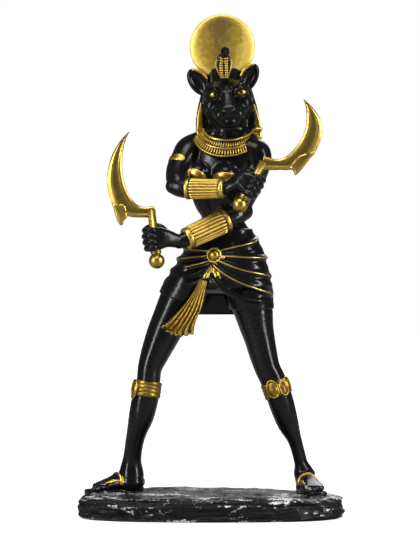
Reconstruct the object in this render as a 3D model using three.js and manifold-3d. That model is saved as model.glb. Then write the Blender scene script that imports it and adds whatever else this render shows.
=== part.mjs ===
import * as THREE from "three";
import { mergeVertices } from "three/addons/utils/BufferGeometryUtils.js";
import Module from "manifold-3d";

const wasm = await Module();
wasm.setup();

// A lioness-headed woman in a wide stance, with crossed forearms and a sickle sword in each fist.
// Lengths are in millimetres and angles in degrees. +Z is up and the figure faces -Y.
// Right and left are the figure's own, so her right side is at -X.

// Driving dimensions
const BASE_LENGTH = 155;
const BASE_DEPTH = 72;
const BASE_TOP = 13.6;
const DISC_RADIUS = 18.8;
const DISC_CENTRE = [6.2, 6, 271.2];
const DISC_RIM = 3.2;
const HEAD_CENTRE = [9.2, 1, 240];
const HEAD_ROLL = -5;
const CHEST_TURN = -20;
const HIP_TURN = -17;
const GRIP_RADIUS = 2.3;
const GRIP_GAP = 0.3;
const BLADE_THICKNESS = 2.6;
const POMMEL_RADIUS = 4.5;
const STATUE_TRIANGLES = 8680;

// Colours of the cast resin and of its gold paint
const BLACK = new THREE.MeshStandardMaterial({ color: 0x0b0b0e, roughness: 0.28, metalness: 0 });
const GOLD = new THREE.MeshStandardMaterial({ color: 0xb08c34, roughness: 0.4, metalness: 0.8 });

const vec = (x, y, z) => new THREE.Vector3(x, y, z);
const rad = THREE.MathUtils.degToRad;
const AXIS_X = vec(1, 0, 0);
const AXIS_Y = vec(0, 1, 0);
const AXIS_Z = vec(0, 0, 1);

// Solids

// A solid from a list of points and triangles, turned inside out if its faces point in.
function solidFrom(points, faces) {
  let volume = 0;
  for (let i = 0; i < faces.length; i += 3) {
    const [a, b, c] = [points[faces[i]], points[faces[i + 1]], points[faces[i + 2]]];
    volume += a.dot(b.clone().cross(c));
  }
  const turned = volume < 0 ? faces.slice().reverse() : faces;
  const vertProperties = new Float32Array(points.flatMap((p) => [p.x, p.y, p.z]));
  const triVerts = new Uint32Array(turned);
  return new wasm.Manifold(new wasm.Mesh({ numProp: 3, vertProperties, triVerts }));
}

// A solid from one of the library's closed geometries.
function solidOf(geometry) {
  const bare = geometry.clone();
  bare.deleteAttribute("normal");
  bare.deleteAttribute("uv");
  const merged = mergeVertices(bare, 1e-4);
  const place = merged.getAttribute("position");
  const points = [];
  for (let i = 0; i < place.count; i += 1) {
    points.push(new THREE.Vector3().fromBufferAttribute(place, i));
  }
  const faces = [];
  for (let i = 0; i < merged.index.count; i += 3) {
    const [a, b, c] = [0, 1, 2].map((k) => merged.index.getX(i + k));
    if (a !== b && b !== c && c !== a) {
      faces.push(a, b, c);
    }
  }
  return solidFrom(points, faces);
}

function geometryOf(solid) {
  const mesh = solid.getMesh();
  const geometry = new THREE.BufferGeometry();
  const place = new Float32Array(mesh.numVert * 3);
  for (let i = 0; i < mesh.numVert; i += 1) {
    for (let k = 0; k < 3; k += 1) {
      place[3 * i + k] = mesh.vertProperties[i * mesh.numProp + k];
    }
  }
  geometry.setAttribute("position", new THREE.BufferAttribute(place, 3));
  geometry.setIndex(new THREE.BufferAttribute(new Uint32Array(mesh.triVerts), 1));
  geometry.computeVertexNormals();
  return geometry;
}

const join = (...solids) => solids.flat().reduce((whole, piece) => whole.add(piece));

// Sum of the squared distances from a point to the planes gathered in a table of ten numbers.
function strain(q, { x, y, z }) {
  return q[0] * x * x + q[4] * y * y + q[7] * z * z + q[9]
    + 2 * (q[1] * x * y + q[2] * x * z + q[3] * x + q[5] * y * z + q[6] * y + q[8] * z);
}

// The same form with fewer triangles. The edges whose loss bends the surface least are closed up first, and an
// edge stays where closing it would fold or pinch the surface, or take away one of the outermost points.
function thinned(solid, target) {
  const mesh = solid.getMesh();
  const points = Array.from({ length: mesh.numVert }, (unused, i) =>
    vec(...mesh.vertProperties.subarray(i * mesh.numProp, i * mesh.numProp + 3)));
  let faces = Array.from({ length: mesh.numTri }, (unused, i) => Array.from(mesh.triVerts.subarray(3 * i, 3 * i + 3)));
  const box = new THREE.Box3().setFromPoints(points);
  const outermost = points.map((point) => ["x", "y", "z"].some((axis) =>
    point[axis] - box.min[axis] < 1e-4 * (axis !== "z") || box.max[axis] - point[axis] < 1e-4));
  const square = ([i, j, k]) => points[j].clone().sub(points[i]).cross(points[k].clone().sub(points[i]));
  const planes = points.map(() => new Float64Array(10));
  for (const face of faces) {
    const across = square(face);
    const area = across.length();
    const { x, y, z } = across.normalize();
    const d = -across.dot(points[face[0]]);
    const products = [x * x, x * y, x * z, x * d, y * y, y * z, y * d, z * z, z * d, d * d];
    face.forEach((i) => products.forEach((value, k) => {
      planes[i][k] += area * value;
    }));
  }
  const facesAt = points.map(() => new Set());
  faces.forEach((face) => face.forEach((i) => facesAt[i].add(face)));
  const neighbours = (i) => new Set([...facesAt[i]].flat().filter((j) => j !== i));
  const folds = (gone, kept) => [...facesAt[gone]].some((face) => {
    if (face.includes(kept)) {
      return false;
    }
    const before = square(face);
    const after = square(face.map((i) => (i === gone ? kept : i)));
    return after.dot(before) < 0.35 * after.length() * before.length() || after.length() < 1e-3;
  });
  for (let closed = 1; closed > 0 && faces.length > target;) {
    const edges = faces.flatMap(([i, j, k]) => [[i, j], [j, k], [k, i]]).filter(([i]) => !outermost[i])
      .map(([gone, kept]) => [strain(planes[gone], points[kept]) + strain(planes[kept], points[kept]), gone, kept])
      .sort((one, other) => one[0] - other[0]);
    const busy = new Set();
    let left = Math.min((faces.length - target) / 2, edges.length * 0.04);
    closed = 0;
    for (const [, gone, kept] of edges) {
      if (left <= 0) {
        break;
      }
      if (busy.has(gone) || busy.has(kept)) {
        continue;
      }
      const [one, other] = [neighbours(gone), neighbours(kept)];
      if ([...one].filter((i) => other.has(i)).length !== 2 || folds(gone, kept)) {
        continue;
      }
      for (const face of [...facesAt[gone]]) {
        if (face.includes(kept)) {
          face.forEach((i) => facesAt[i].delete(face));
          face.length = 0;
        } else {
          face[face.indexOf(gone)] = kept;
          facesAt[kept].add(face);
        }
      }
      planes[gone].forEach((value, k) => {
        planes[kept][k] += value;
      });
      [gone, kept, ...one, ...other].forEach((i) => busy.add(i));
      left -= 1;
      closed += 1;
    }
    faces = faces.filter((face) => face.length);
  }
  const used = [...new Set(faces.flat())];
  const renumbered = new Map(used.map((i, k) => [i, k]));
  return solidFrom(used.map((i) => points[i]), faces.flat().map((i) => renumbered.get(i)));
}

// A skin through rings of equally many points. Its ends are closed by a fan, or it runs round into itself.
function skin(rings, loop = false) {
  const sides = rings[0].length;
  const points = rings.flat();
  const faces = [];
  const spans = loop ? rings.length : rings.length - 1;
  for (let i = 0; i < spans; i += 1) {
    const next = (i + 1) % rings.length;
    for (let j = 0; j < sides; j += 1) {
      const k = (j + 1) % sides;
      const [a, b, c, d] = [i * sides + j, i * sides + k, next * sides + j, next * sides + k];
      faces.push(a, b, d, a, d, c);
    }
  }
  if (!loop) {
    for (const [start, flip] of [[0, true], [(rings.length - 1) * sides, false]]) {
      const middle = vec(0, 0, 0);
      for (let j = 0; j < sides; j += 1) {
        middle.addScaledVector(points[start + j], 1 / sides);
      }
      points.push(middle);
      for (let j = 0; j < sides; j += 1) {
        const [a, b] = [start + j, start + ((j + 1) % sides)];
        faces.push(...(flip ? [points.length - 1, b, a] : [points.length - 1, a, b]));
      }
    }
  }
  return solidFrom(points, faces);
}

// An oval ring about a centre, with half-widths a and b along two unit directions. A power above 2
// squares it up, and ripple gives a factor on the radius at each angle.
function oval(centre, wide, deep, a, b, sides, power = 2, ripple = () => 1) {
  const ring = [];
  for (let j = 0; j < sides; j += 1) {
    const angle = (2 * Math.PI * j) / sides;
    const [c, s] = [Math.cos(angle), Math.sin(angle)];
    const size = ripple(angle, j) / (Math.abs(c) ** power + Math.abs(s) ** power) ** (1 / power);
    ring.push(centre.clone().addScaledVector(wide, a * c * size).addScaledVector(deep, b * s * size));
  }
  return ring;
}

// A limb: ovals of stations [x, y, z, half-width, half-depth] square to the line that they follow.
function limb(stations, sides, across = AXIS_X, ripple = () => 1) {
  const centres = stations.map(([x, y, z]) => vec(x, y, z));
  const last = centres.length - 1;
  const rings = stations.map(([, , , a, b], i) => {
    const along = centres[Math.min(i + 1, last)].clone().sub(centres[Math.max(i - 1, 0)]).normalize();
    const wide = across.clone().addScaledVector(along, -across.dot(along)).normalize();
    const deep = along.clone().cross(wide);
    return oval(centres[i], wide, deep, a, b ?? a, sides, 2, (angle, j) => ripple(i, angle, j));
  });
  return skin(rings);
}

// Level ovals [z, centre x, centre y, half-width, half-depth, power], turned about the vertical.
function stack(levels, sides, turn = 0) {
  const wide = AXIS_X.clone().applyAxisAngle(AXIS_Z, rad(turn));
  const deep = AXIS_Y.clone().applyAxisAngle(AXIS_Z, rad(turn));
  return skin(levels.map(([z, x, y, a, b, power]) => oval(vec(x, y, z), wide, deep, a, b, sides, power ?? 2)));
}

function ellipsoid(centre, radii, around = 12, down = 8, turn = [0, 0, 0]) {
  const geometry = new THREE.SphereGeometry(1, around, down);
  geometry.rotateX(Math.PI / 2);
  geometry.scale(...radii);
  geometry.applyMatrix4(new THREE.Matrix4().makeRotationFromEuler(new THREE.Euler(...turn.map(rad))));
  geometry.translate(...centre);
  return solidOf(geometry);
}

// A round piece turned about an axis that runs from a centre towards a direction.
function turned(profile, centre, direction, segments) {
  const geometry = new THREE.LatheGeometry(profile.map(([r, h]) => new THREE.Vector2(r, h)), segments);
  geometry.applyQuaternion(new THREE.Quaternion().setFromUnitVectors(AXIS_Y, vec(...direction).normalize()));
  geometry.translate(...centre);
  return solidOf(geometry);
}

const mix = (from, to, t) => from.map((value, i) => value + (to[i] - value) * t);

// A row of a table, at a height between its rows. The rows run from high to low.
function rowAt(table, z) {
  const i = Math.min(Math.max(table.findIndex((row) => row[0] <= z), 1), table.length - 1);
  const t = (table[i - 1][0] - z) / (table[i - 1][0] - table[i][0]);
  return mix(table[i - 1], table[i], Math.min(Math.max(t, 0), 1));
}

// Rock base

// Layers of rock, as a repeatable mixture of waves along and across the slab.
const rockWave = (x, y) =>
  0.5 * Math.sin(0.19 * x + 0.35 * y) + 0.3 * Math.sin(0.43 * x - 0.5 * y + 1.7) + 0.2 * Math.sin(0.83 * x + 0.9 * y);

function rockBase() {
  const sides = 52;
  const levels = [[0, 0.965], [2.6, 0.995], [5.4, 0.975], [8.4, 1], [10.6, 0.975], [12.4, 0.94], [13.4, 0.84],
    [13.6, 0.62], [13.2, 0.36], [13.4, 0.14]];
  const rings = levels.map(([z, share], level) => {
    const ring = oval(vec(0, 0, 0), AXIS_X, AXIS_Y, BASE_LENGTH / 2, BASE_DEPTH / 2, sides, 2.7);
    return ring.map((point) => {
      const rough = level === 0 ? 0 : rockWave(point.x + 23 * level, point.y - 31 * level);
      const shrink = share - 0.02 + 0.03 * Math.min(rough, 0.7);
      const lift = level > 1 ? 0.75 * rockWave(1.3 * point.x * share, 2 * point.y * share + 5) : 0;
      return vec(point.x * shrink, point.y * shrink, z + lift);
    });
  });
  // The widest points reach the stated length and depth.
  const box = new THREE.Box3().setFromPoints(rings.flat());
  const size = box.getSize(vec(0, 0, 0));
  const middle = box.getCenter(vec(0, 0, 0));
  for (const point of rings.flat()) {
    point.x = ((point.x - middle.x) * BASE_LENGTH) / size.x;
    point.y = ((point.y - middle.y) * BASE_DEPTH) / size.y;
  }
  return skin(rings);
}

// Legs and feet

const RIGHT_LEG = [
  [-9, 8, 141, 14, 14],
  [-14, 8, 131, 13, 13],
  [-18.9, 7, 124, 11.6, 12.4],
  [-23.4, 6, 115, 10.5, 11.6],
  [-28, 4.5, 105, 9.7, 10.6],
  [-32.7, 3, 94, 8.2, 9.2],
  [-35.6, 2, 86, 7, 8],
  [-36.3, 1.5, 79.7, 6.8, 7.4],
  [-37.1, 1.8, 73.5, 7.1, 7.3],
  [-38.3, 2.8, 68.2, 7.7, 7.8],
  [-40.6, 4.6, 57.8, 7.3, 8.4],
  [-43.1, 6.6, 49.3, 5.9, 7.2],
  [-44.8, 8.4, 41.9, 5.3, 6],
  [-46, 10.2, 33.5, 5.3, 5.6],
  [-46.7, 11.4, 26.5, 6.4, 6.6],
  [-46.8, 12, 19.5, 7.6, 8],
];

const LEFT_LEG = [
  [18, 3, 141, 14, 14],
  [21, 3, 131, 13, 13],
  [23.8, 2.5, 120.4, 11.5, 12.4],
  [25.7, 2, 110.8, 9.9, 11.2],
  [27.7, 1.2, 102.8, 8.8, 10],
  [29.8, 0.4, 94, 8.1, 8.8],
  [32.1, -0.2, 86, 7.4, 7.9],
  [34.9, -0.4, 80.1, 7.4, 7.4],
  [37.2, 0.4, 74.3, 7.4, 7.2],
  [39.2, 1.8, 69, 7.4, 7.6],
  [41.4, 4, 62, 7.1, 8],
  [44.2, 6.4, 53.5, 6.2, 7],
  [47.7, 8.6, 45, 4.3, 5.7],
  [50, 10.4, 37.6, 3.8, 5],
  [52.1, 12, 29.2, 3.9, 5],
  [53.8, 13, 21.8, 4.5, 5.6],
];

const SOLE = 1.6;

// A sandalled foot from its heel to its toes: sole, foot, five toes and a strap over the instep.
function foot(heel, toe, ankle, smallToeSide) {
  const [back, front] = [vec(...heel), vec(...toe)];
  const along = front.clone().sub(back).normalize();
  const wide = AXIS_Z.clone().cross(along).normalize();
  const at = (share, side, up) =>
    back.clone().lerp(front, share).addScaledVector(wide, side * smallToeSide).addScaledVector(AXIS_Z, up);
  const ring = (share, side, up, a, b) => oval(at(share, side, up), wide, AXIS_Z, a, b, 12, 2.4);
  const instep = skin([
    ring(-0.02, 0, 4.4, 2.2, 2.4),
    ring(0.05, 0, 4.6, 4.2, 4),
    ring(0.2, 0, 5.8, 5, 5.6),
    ring(0.38, 0.2, 5.8, 5.2, 5.6),
    ring(0.56, 0.6, 4.5, 6, 4),
    ring(0.72, 0.9, 3.4, 6.9, 2.7),
    ring(0.83, 1, 2.9, 6.8, 2),
  ]);
  const soleLine = [[-0.05, 2.6], [0.02, 4.4], [0.2, 5], [0.45, 5.2], [0.7, 7.4], [0.88, 7.7], [1, 6.2], [1.05, 3.4]];
  const sole = skin(soleLine.map(([share, half]) =>
    oval(at(share, share > 0.5 ? 1 : 0.3, SOLE / 2 - 1), wide, AXIS_Z, half, SOLE / 2 + 1, 8, 6)));
  const toes = [0, 1, 2, 3, 4].map((i) => {
    const radius = i === 0 ? 1.9 : 1.45 - 0.08 * i;
    const side = -4.6 + 2.75 * i;
    const reach = 1 - 0.035 * i * i * 0.5;
    const steps = [[-0.24, 0.8, 2.2], [-0.13, 1, 2.5], [-0.05, 1, 2.2], [0, 0.55, 1.9]];
    return skin(steps.map(([share, size, up]) =>
      oval(at(reach + share, side, up), wide, AXIS_Z, radius * size, radius * size, 6)));
  });
  const strap = [-1, 1].map((hand) => limb([
    [...at(0.8, -2.2, 3.6).toArray(), 0.9, 0.8],
    [...at(0.66, -2.2 + hand * 2.6, 5.6).toArray(), 1, 0.8],
    [...at(0.48, hand * 4.6, 6.2).toArray(), 1, 0.8],
    [...at(0.34, hand * 5.2, 3).toArray(), 1, 0.8],
  ], 5));
  const shank = limb([[...ankle, 5.2, 5.8], [...at(0.2, 0, 8).toArray(), 4.9, 5.4], [...at(0.26, 0, 4).toArray(), 4.4, 4.6]], 10);
  return join(instep, sole, toes, strap, shank);
}

// A knee band of three ridges, with oval plates on it.
function kneeBand(centre, along, radius, plates) {
  const direction = vec(...along).normalize();
  const ridges = [[0, -4.4], [radius - 0.6, -4.4], [radius + 0.9, -3.9], [radius + 0.9, -1.8], [radius + 0.3, -1.3],
    [radius + 1, -0.8], [radius + 1, 0.8], [radius + 0.3, 1.3], [radius + 0.9, 1.8], [radius + 0.9, 3.9],
    [radius - 0.6, 4.4], [0, 4.4]];
  const ring = turned(ridges, centre, along, 18);
  const ovals = plates.map(([angle, lift, half, tall]) => {
    const out = vec(Math.sin(rad(angle)), -Math.cos(rad(angle)), 0);
    const place = vec(...centre).addScaledVector(out, radius + 0.9).addScaledVector(direction, lift);
    return ellipsoid(place.toArray(), [half, 1.9, tall], 12, 6, [0, 0, angle]);
  });
  return join(ring, ovals);
}

// Torso, neck and arms

const TORSO = [
  [220.5, 9.4, 6.5, 10, 9],
  [217, 7.4, 6, 17, 10],
  [213, 6.2, 5.6, 21.4, 11.4],
  [207.5, 5.6, 5.2, 22, 12.4],
  [201, 5, 5, 20, 13],
  [195, 4.6, 5, 17.8, 12.6],
  [189, 4.4, 5, 16.4, 11.4],
  [182.8, 4.4, 5, 15.8, 10.4],
  [177, 5.1, 5, 14, 9.4],
  [172.4, 6.3, 5, 12.2, 9.4],
  [167.6, 6.8, 5, 14.2, 10.6],
  [162.3, 7.4, 5, 18, 13],
  [154, 6.4, 5, 23, 15],
];

function torso() {
  const body = stack(TORSO, 22, CHEST_TURN);
  const neck = limb([[10.4, 7, 214, 11, 10], [10.2, 6.6, 222, 9.6, 9], [9.8, 5.4, 229, 9.2, 9.2], [9.4, 4, 236, 9.4, 9.6]], 14);
  const shoulders = limb([[-14, 8, 212.6, 6], [-7, 8, 216.4, 6], [1, 7.6, 220.4, 6.4], [10, 7, 222.4, 6.6], [18, 5, 219, 6.4],
    [25, 1.6, 212.6, 5.6]], 12, AXIS_Z);
  const bust = [[-7.6, -2.6, 198.2], [8.2, -6.6, 197.6]].map((centre) => ellipsoid(centre, [7, 7.2, 6.2], 12, 8));
  const halter = [[-7.8, -3.8, 197.2], [8, -7.8, 196.6]].map((centre) => ellipsoid(centre, [6.4, 6.6, 4], 12, 6));
  return join(body, neck, shoulders, bust, halter);
}

// A bracer: a fluted sleeve with a plain rolled cuff at both ends.
function bracer(from, to, startRadius, endRadius) {
  const flutes = 13;
  const shares = [0, 0.02, 0.1, 0.12, 0.88, 0.9, 0.98, 1];
  const lifts = [-0.8, 0.35, 0.35, 0, 0, 0.35, 0.35, -0.8];
  const stations = shares.map((share, i) => {
    const radius = startRadius + (endRadius - startRadius) * share + lifts[i];
    return [...mix(from, to, share), radius, radius];
  });
  const ripple = (i, angle, j) => (i > 2 && i < 5 && j % 2 === 1 ? 0.9 : 1);
  return limb(stations, 2 * flutes, AXIS_Z, ripple);
}

const RIGHT_WRIST = [10.2, -22.6, 189.8];
const LEFT_WRIST = [-18.4, -21.6, 159];

function arms() {
  const rightUpper = limb([
    [-7.6, 9, 213.6, 7.6], [-11.6, 7.4, 211.8, 8.4], [-15.2, 3, 206.8, 8], [-18.6, -2.4, 201, 7.2],
    [-19.8, -7.4, 196.2, 6.5], [-19.4, -11.6, 192.6, 5.9], [-18.4, -14, 190, 4.8], [-17.2, -15.2, 187.8, 3]], 12);
  const rightFore = limb([
    [-24.2, -12.8, 190.8, 2.6], [-22, -13.2, 190.6, 4.6], [-17.2, -14.4, 189.8, 5.6], [-10, -16.6, 189, 5.4],
    [2, -20, 189.2, 4.2], [...RIGHT_WRIST, 3.7], [15, -23.4, 191.4, 3.9]], 12, AXIS_Z);
  const leftUpper = limb([
    [22, 0.4, 211.6, 7.6], [26, -0.4, 209, 8.2], [26.6, -1, 203, 7.2], [25.2, -2, 196, 6.1],
    [22.4, -3, 189, 5.7], [19.2, -4.4, 183, 5.5], [16.6, -5.4, 177.6, 5.4], [14.6, -6.4, 174, 3]], 12);
  const leftFore = limb([
    [20.6, -3.6, 177.4, 2.8], [18.6, -4.6, 176.2, 5.2], [13, -8, 173.6, 6], [4, -12.6, 169.4, 5.4],
    [-10, -18.4, 162.4, 4.7], [...LEFT_WRIST, 4.1], [-24, -23.2, 159.4, 4.2]], 12, AXIS_Z);
  const bracers = [
    bracer([-15.6, -15, 189.3], [7.2, -21.8, 189.3], 5.9, 4.9),
    bracer([8.6, -10.6, 171.4], [-14.8, -20, 160.4], 6.7, 5.8),
  ];
  const armlet = turned([[0, -2.3], [8, -2.3], [8.8, -1.7], [8.8, 1.7], [8, 2.3], [0, 2.3]], [-16.4, 0.6, 205.2],
    [-0.3, -0.62, -0.62], 16);
  return join(rightUpper, rightFore, leftUpper, leftFore, bracers, armlet);
}

// Fists

// A fist about a sword's grip: the back of the hand faces the viewer, its knuckles lie away from the wrist,
// and the fingers curl behind the grip. up is the direction from the pommel to the blade.
function fist(grip, up, wrist) {
  const centre = vec(...grip);
  const rise = vec(...up).normalize();
  const out = centre.clone().sub(vec(...wrist)).projectOnPlane(rise).normalize();
  const front = out.clone().cross(rise);
  if (front.y > 0) {
    front.negate();
  }
  const at = (o, f, r) =>
    centre.clone().addScaledVector(out, o).addScaledVector(front, f).addScaledVector(rise, r);
  const wristPoint = vec(...wrist);
  const plate = (point, tall, thick) => oval(point, rise, front, tall, thick, 10, 2.6);
  const hand = skin([
    plate(wristPoint, 3.9, 3.7),
    plate(wristPoint.clone().lerp(at(-6, 2, 0), 0.5), 4.6, 3.8),
    plate(at(-6, 2.2, -0.4), 5.5, 3.7),
    plate(at(-2, 3.6, 0), 6.7, 2.8),
    plate(at(2, 3.6, 0), 6.8, 2.2),
    plate(at(4.4, 2.6, 0), 5.6, 1.2),
  ]);
  const heel = skin([
    plate(at(-8, -1, 0), 4.4, 2.2), plate(at(-5, -2, 0), 5.8, 3), plate(at(-2.4, -2.6, 0), 5.4, 2.4)]);
  const fingers = [0, 1, 2, 3].map((i) => {
    const level = 5.2 - 3.45 * i;
    const reach = [4.9, 5.4, 5.3, 4.8][i];
    const stations = [70, 38, 5, -30, -65, -100, -135].map((angle, k) => {
      const point = at(reach * Math.cos(rad(angle)), reach * Math.sin(rad(angle)), level);
      const radius = [1.5, 1.95, 1.9, 1.85, 1.75, 1.6, 1][k];
      return [...point.toArray(), radius, radius];
    });
    return limb(stations, 6, rise);
  });
  const thumb = limb([
    [...at(-7.4, 0, 2.8).toArray(), 2], [...at(-4.4, -1, 6).toArray(), 2.1], [...at(-1, -3.4, 7.2).toArray(), 1.9],
    [...at(2.4, -4.6, 6.4).toArray(), 1.7], [...at(4, -4.6, 6).toArray(), 0.9]], 7, front);
  return join(hand, heel, fingers, thumb);
}

// Head

// Ovals across the head from its back to its nose: [y, centre z, half-width, height above, depth below].
const HEAD = [
  [17, 3, 5, 5, 6],
  [13.5, 2.4, 10, 9.6, 11],
  [8, 1.6, 12.9, 12.2, 13.4],
  [1, 1, 14.1, 13.2, 14.6],
  [-5, 0, 14, 12, 14],
  [-8.6, -1.4, 12.9, 10.4, 12.8],
  [-11.4, -3.6, 11, 7.6, 11],
  [-14.6, -5.8, 9.8, 5.2, 8.8],
  [-18, -6.8, 8.8, 4, 7.4],
  [-20.6, -7.2, 6.4, 3, 5],
];

const headPlace = new THREE.Matrix4()
  .makeTranslation(...HEAD_CENTRE)
  .multiply(new THREE.Matrix4().makeRotationY(rad(HEAD_ROLL)));
const inHead = (solid) => solid.transform(headPlace.elements);

// side is -1 for the right ear and 1 for the left one, which stands closer to the crown.
function ear(side) {
  const lean = 30 * side;
  const dish = ellipsoid([0, 0, 0], [6, 3, 8.4], 14, 8, [0, lean, 0]);
  const hollow = ellipsoid([0.4 * side, -2.6, 0.6], [4.2, 2.6, 6.4], 10, 6, [0, lean, 0]);
  return dish.subtract(hollow).translate([(side < 0 ? 15.2 : 13.3) * side, 4, side < 0 ? 12.4 : 12]);
}

function head() {
  const skull = skin(HEAD.map(([y, z, half, above, below]) => {
    const ring = oval(vec(0, y, z), AXIS_X, AXIS_Z, half, 1, 18, 2.3);
    return ring.map((point) => {
      const rise = point.z - z;
      return vec(point.x, y, z + rise * (rise > 0 ? above : below));
    });
  }));
  const nose = ellipsoid([0.4, -20.6, -5.2], [3.4, 1.8, 2.3], 10, 6);
  const bridge = limb([[0, -6, 8, 3, 2.4], [0.2, -12.6, 2, 3.2, 2.6], [0.4, -19.4, -4.2, 3, 2]], 8);
  const brows = [-1, 1].map((side) => ellipsoid([7.4 * side, -8.4, 5.2], [5.2, 3.2, 2.6], 10, 6, [0, 14 * side, -24 * side]));
  const eyes = [-1, 1].map((side) => ellipsoid([7.4 * side, -9.6, 2.2], [3.2, 2.2, 2], 10, 6, [0, 8 * side, -24 * side]));
  const chin = ellipsoid([0.3, -14.4, -14], [5, 5, 3.4], 10, 6);
  return inHead(join(skull, nose, bridge, brows, eyes, chin, ear(-1), ear(1)));
}

// Headdress, sun disc and cobra

const HAIR = [
  [259.4, 7.2, 9.6, 9, 5],
  [257.6, 7.6, 9.8, 12.4, 6.6],
  [250, 8.6, 10.8, 13.6, 7.4],
  [243, 9, 12, 15.4, 7.6],
  [236, 9.2, 12.6, 17.2, 7.8],
  [228, 9.4, 12.8, 18.4, 7.6],
  [221, 9.6, 13.2, 18.6, 7],
  [213, 9.2, 14, 17.8, 5.4],
  [204, 8.4, 15.4, 15.6, 4.2],
  [198, 8, 15.8, 13.8, 3],
];

function headdress() {
  const locks = 13;
  const rings = HAIR.map(([z, x, y, a, b]) =>
    oval(vec(x, y, z), AXIS_X, AXIS_Y, a, b, 2 * locks, 2.6, (angle, j) => (j % 2 ? 0.97 : 1.02)));
  const lappets = [
    limb([[-3.4, 5.6, 240, 1.2], [-6.6, 5.4, 233, 1.7], [-7.6, 5, 225, 1.9], [-7.2, 4.6, 219, 1.4]], 6),
    limb([[23.6, 5.8, 240, 1.2], [26, 5.4, 231, 1.6], [27.4, 5, 222, 1.7], [27, 4.6, 216, 1.2]], 6),
  ];
  return join(skin(rings), lappets);
}

function sunDisc() {
  const [half, r] = [DISC_RIM / 2, DISC_RADIUS];
  const profile = [[0, -half - 0.8], [r - 2, -half], [r, -half + 0.9], [r, half - 0.9], [r - 2, half], [0, half + 0.8]];
  return turned(profile, DISC_CENTRE, [0, 1, 0], 36);
}

function cobra() {
  const hood = limb([
    [7.6, -8, 250.4, 2.2, 1.6], [7.4, -10, 253, 2.4, 1.8], [7, -11.6, 256.6, 3.8, 1.7], [6.9, -12.4, 260.4, 4.9, 1.7],
    [7, -12.6, 263.4, 4.2, 1.8], [7.3, -12.8, 265.8, 2.5, 2], [7.6, -13.6, 267.6, 2.2, 2.1],
    [7.8, -15.8, 268.4, 2, 1.6], [7.9, -18, 267.6, 1, 0.8]], 10);
  const belly = limb([[7.4, -11.2, 253, 1.6, 1.2], [7, -13.6, 257.8, 2.1, 1.1], [7, -14.4, 262, 2.1, 1],
    [7.3, -14.4, 265.2, 1.4, 1]], 6);
  const coil = limb([[7.6, -8, 250.6, 2, 1.6], [7.2, -3, 253.6, 2, 1.6], [6.6, 4, 254.6, 1.8, 1.6]], 6);
  return join(hood, belly, coil);
}

// Broad collar of two rows of pendants, lying on the shoulders

function collar() {
  const pendants = 28;
  // Across the band: [share from the inner to the outer edge, height above it]
  const profile = [[0, -1.8], [0, 1.1], [0.12, 1.1], [0.16, 0.5], [0.55, 0.9], [0.6, 0.5], [1, 0.8], [1, -1.8]];
  const rings = [];
  for (let i = 0; i < 2 * pendants; i += 1) {
    const angle = (Math.PI * i) / pendants;
    const [side, front] = [Math.sin(angle), Math.cos(angle)];
    const ahead = Math.max(front, 0);
    const inner = vec(9.9 + 13.2 * side - 1.4 * ahead, 5 - 11.6 * front, 223 - 6.4 * ahead);
    const outer = vec(9.3 + 19 * side - 2 * ahead, 5 - 15.4 * front, 218.4 - 11.4 * ahead ** 1.3);
    const out = outer.clone().sub(inner);
    const up = vec(side, -front, 0).multiplyScalar(0.75).add(AXIS_Z.clone().multiplyScalar(0.66)).normalize();
    rings.push(profile.map(([share, height], k) => {
      const sunk = i % 2 === 1 && (k === 4 || k === 6) ? 0.55 : 0;
      return inner.clone().addScaledVector(out, share).addScaledVector(up, height - sunk);
    }));
  }
  return skin(rings, true);
}

// Wrap kilt

// The hips under the kilt: [z, centre x, centre y, half-width, half-depth]
const HIPS = [
  [164, 7.4, 5, 17, 12.4],
  [158, 7.2, 5, 21.4, 14.4],
  [150, 6.3, 5, 25.5, 16],
  [141, 5, 5, 29.2, 17.4],
  [133, 3.7, 5, 31.8, 18],
  [126, 2.8, 5.4, 32.6, 17.6],
];
const hipWide = AXIS_X.clone().applyAxisAngle(AXIS_Z, rad(HIP_TURN));
const hipDeep = AXIS_Y.clone().applyAxisAngle(AXIS_Z, rad(HIP_TURN));

// A point on the hips. Angle 0 is the knot in front, and +90 is the figure's left side.
function hipPoint(angle, z, lift = 0) {
  const [, x, y, a, b] = rowAt(HIPS, z);
  const [s, c] = [Math.sin(rad(angle)), Math.cos(rad(angle))];
  return vec(x, y, z).addScaledVector(hipWide, (a + lift) * s).addScaledVector(hipDeep, -(b + lift) * c);
}

// A rolled fold that leaves the knot and swings round the hip. Its height falls from the first value to the
// last, and quickly at first where haste is large.
function fold(toAngle, [top, bottom], haste, radius, steps = 8) {
  const stations = [];
  for (let i = 0; i <= steps; i += 1) {
    const share = i / steps;
    const z = bottom + (top - bottom) * Math.exp(-haste * share) - 0.6 * Math.sin(Math.PI * share);
    const size = radius * (0.75 + 0.35 * Math.sin(Math.PI * Math.min(share * 1.2, 1)));
    stations.push([...hipPoint(toAngle * share, z, 0.2).toArray(), size, size]);
  }
  return limb(stations, 5, AXIS_Z);
}

const FOLDS = [
  [105, [153, 163.6], 1.4, 1.1], [125, [151, 149.4], 1.2, 1.2], [120, [149.6, 138], 2.6, 1.2],
  [112, [146, 126.4], 2.4, 1.2], [-105, [153.4, 157], 1.2, 1.1], [-115, [151.4, 147.4], 1.2, 1.2],
  [-110, [148.6, 139.4], 1.6, 1.2], [-80, [144.6, 132], 1.6, 1.6], [62, [140, 123.4], 2.4, 1.4],
];

// The kilt's lower edge on one thigh: a sleeve about the leg that ends in a plain hem.
function sleeve(stations) {
  return limb(stations, 18);
}

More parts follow.
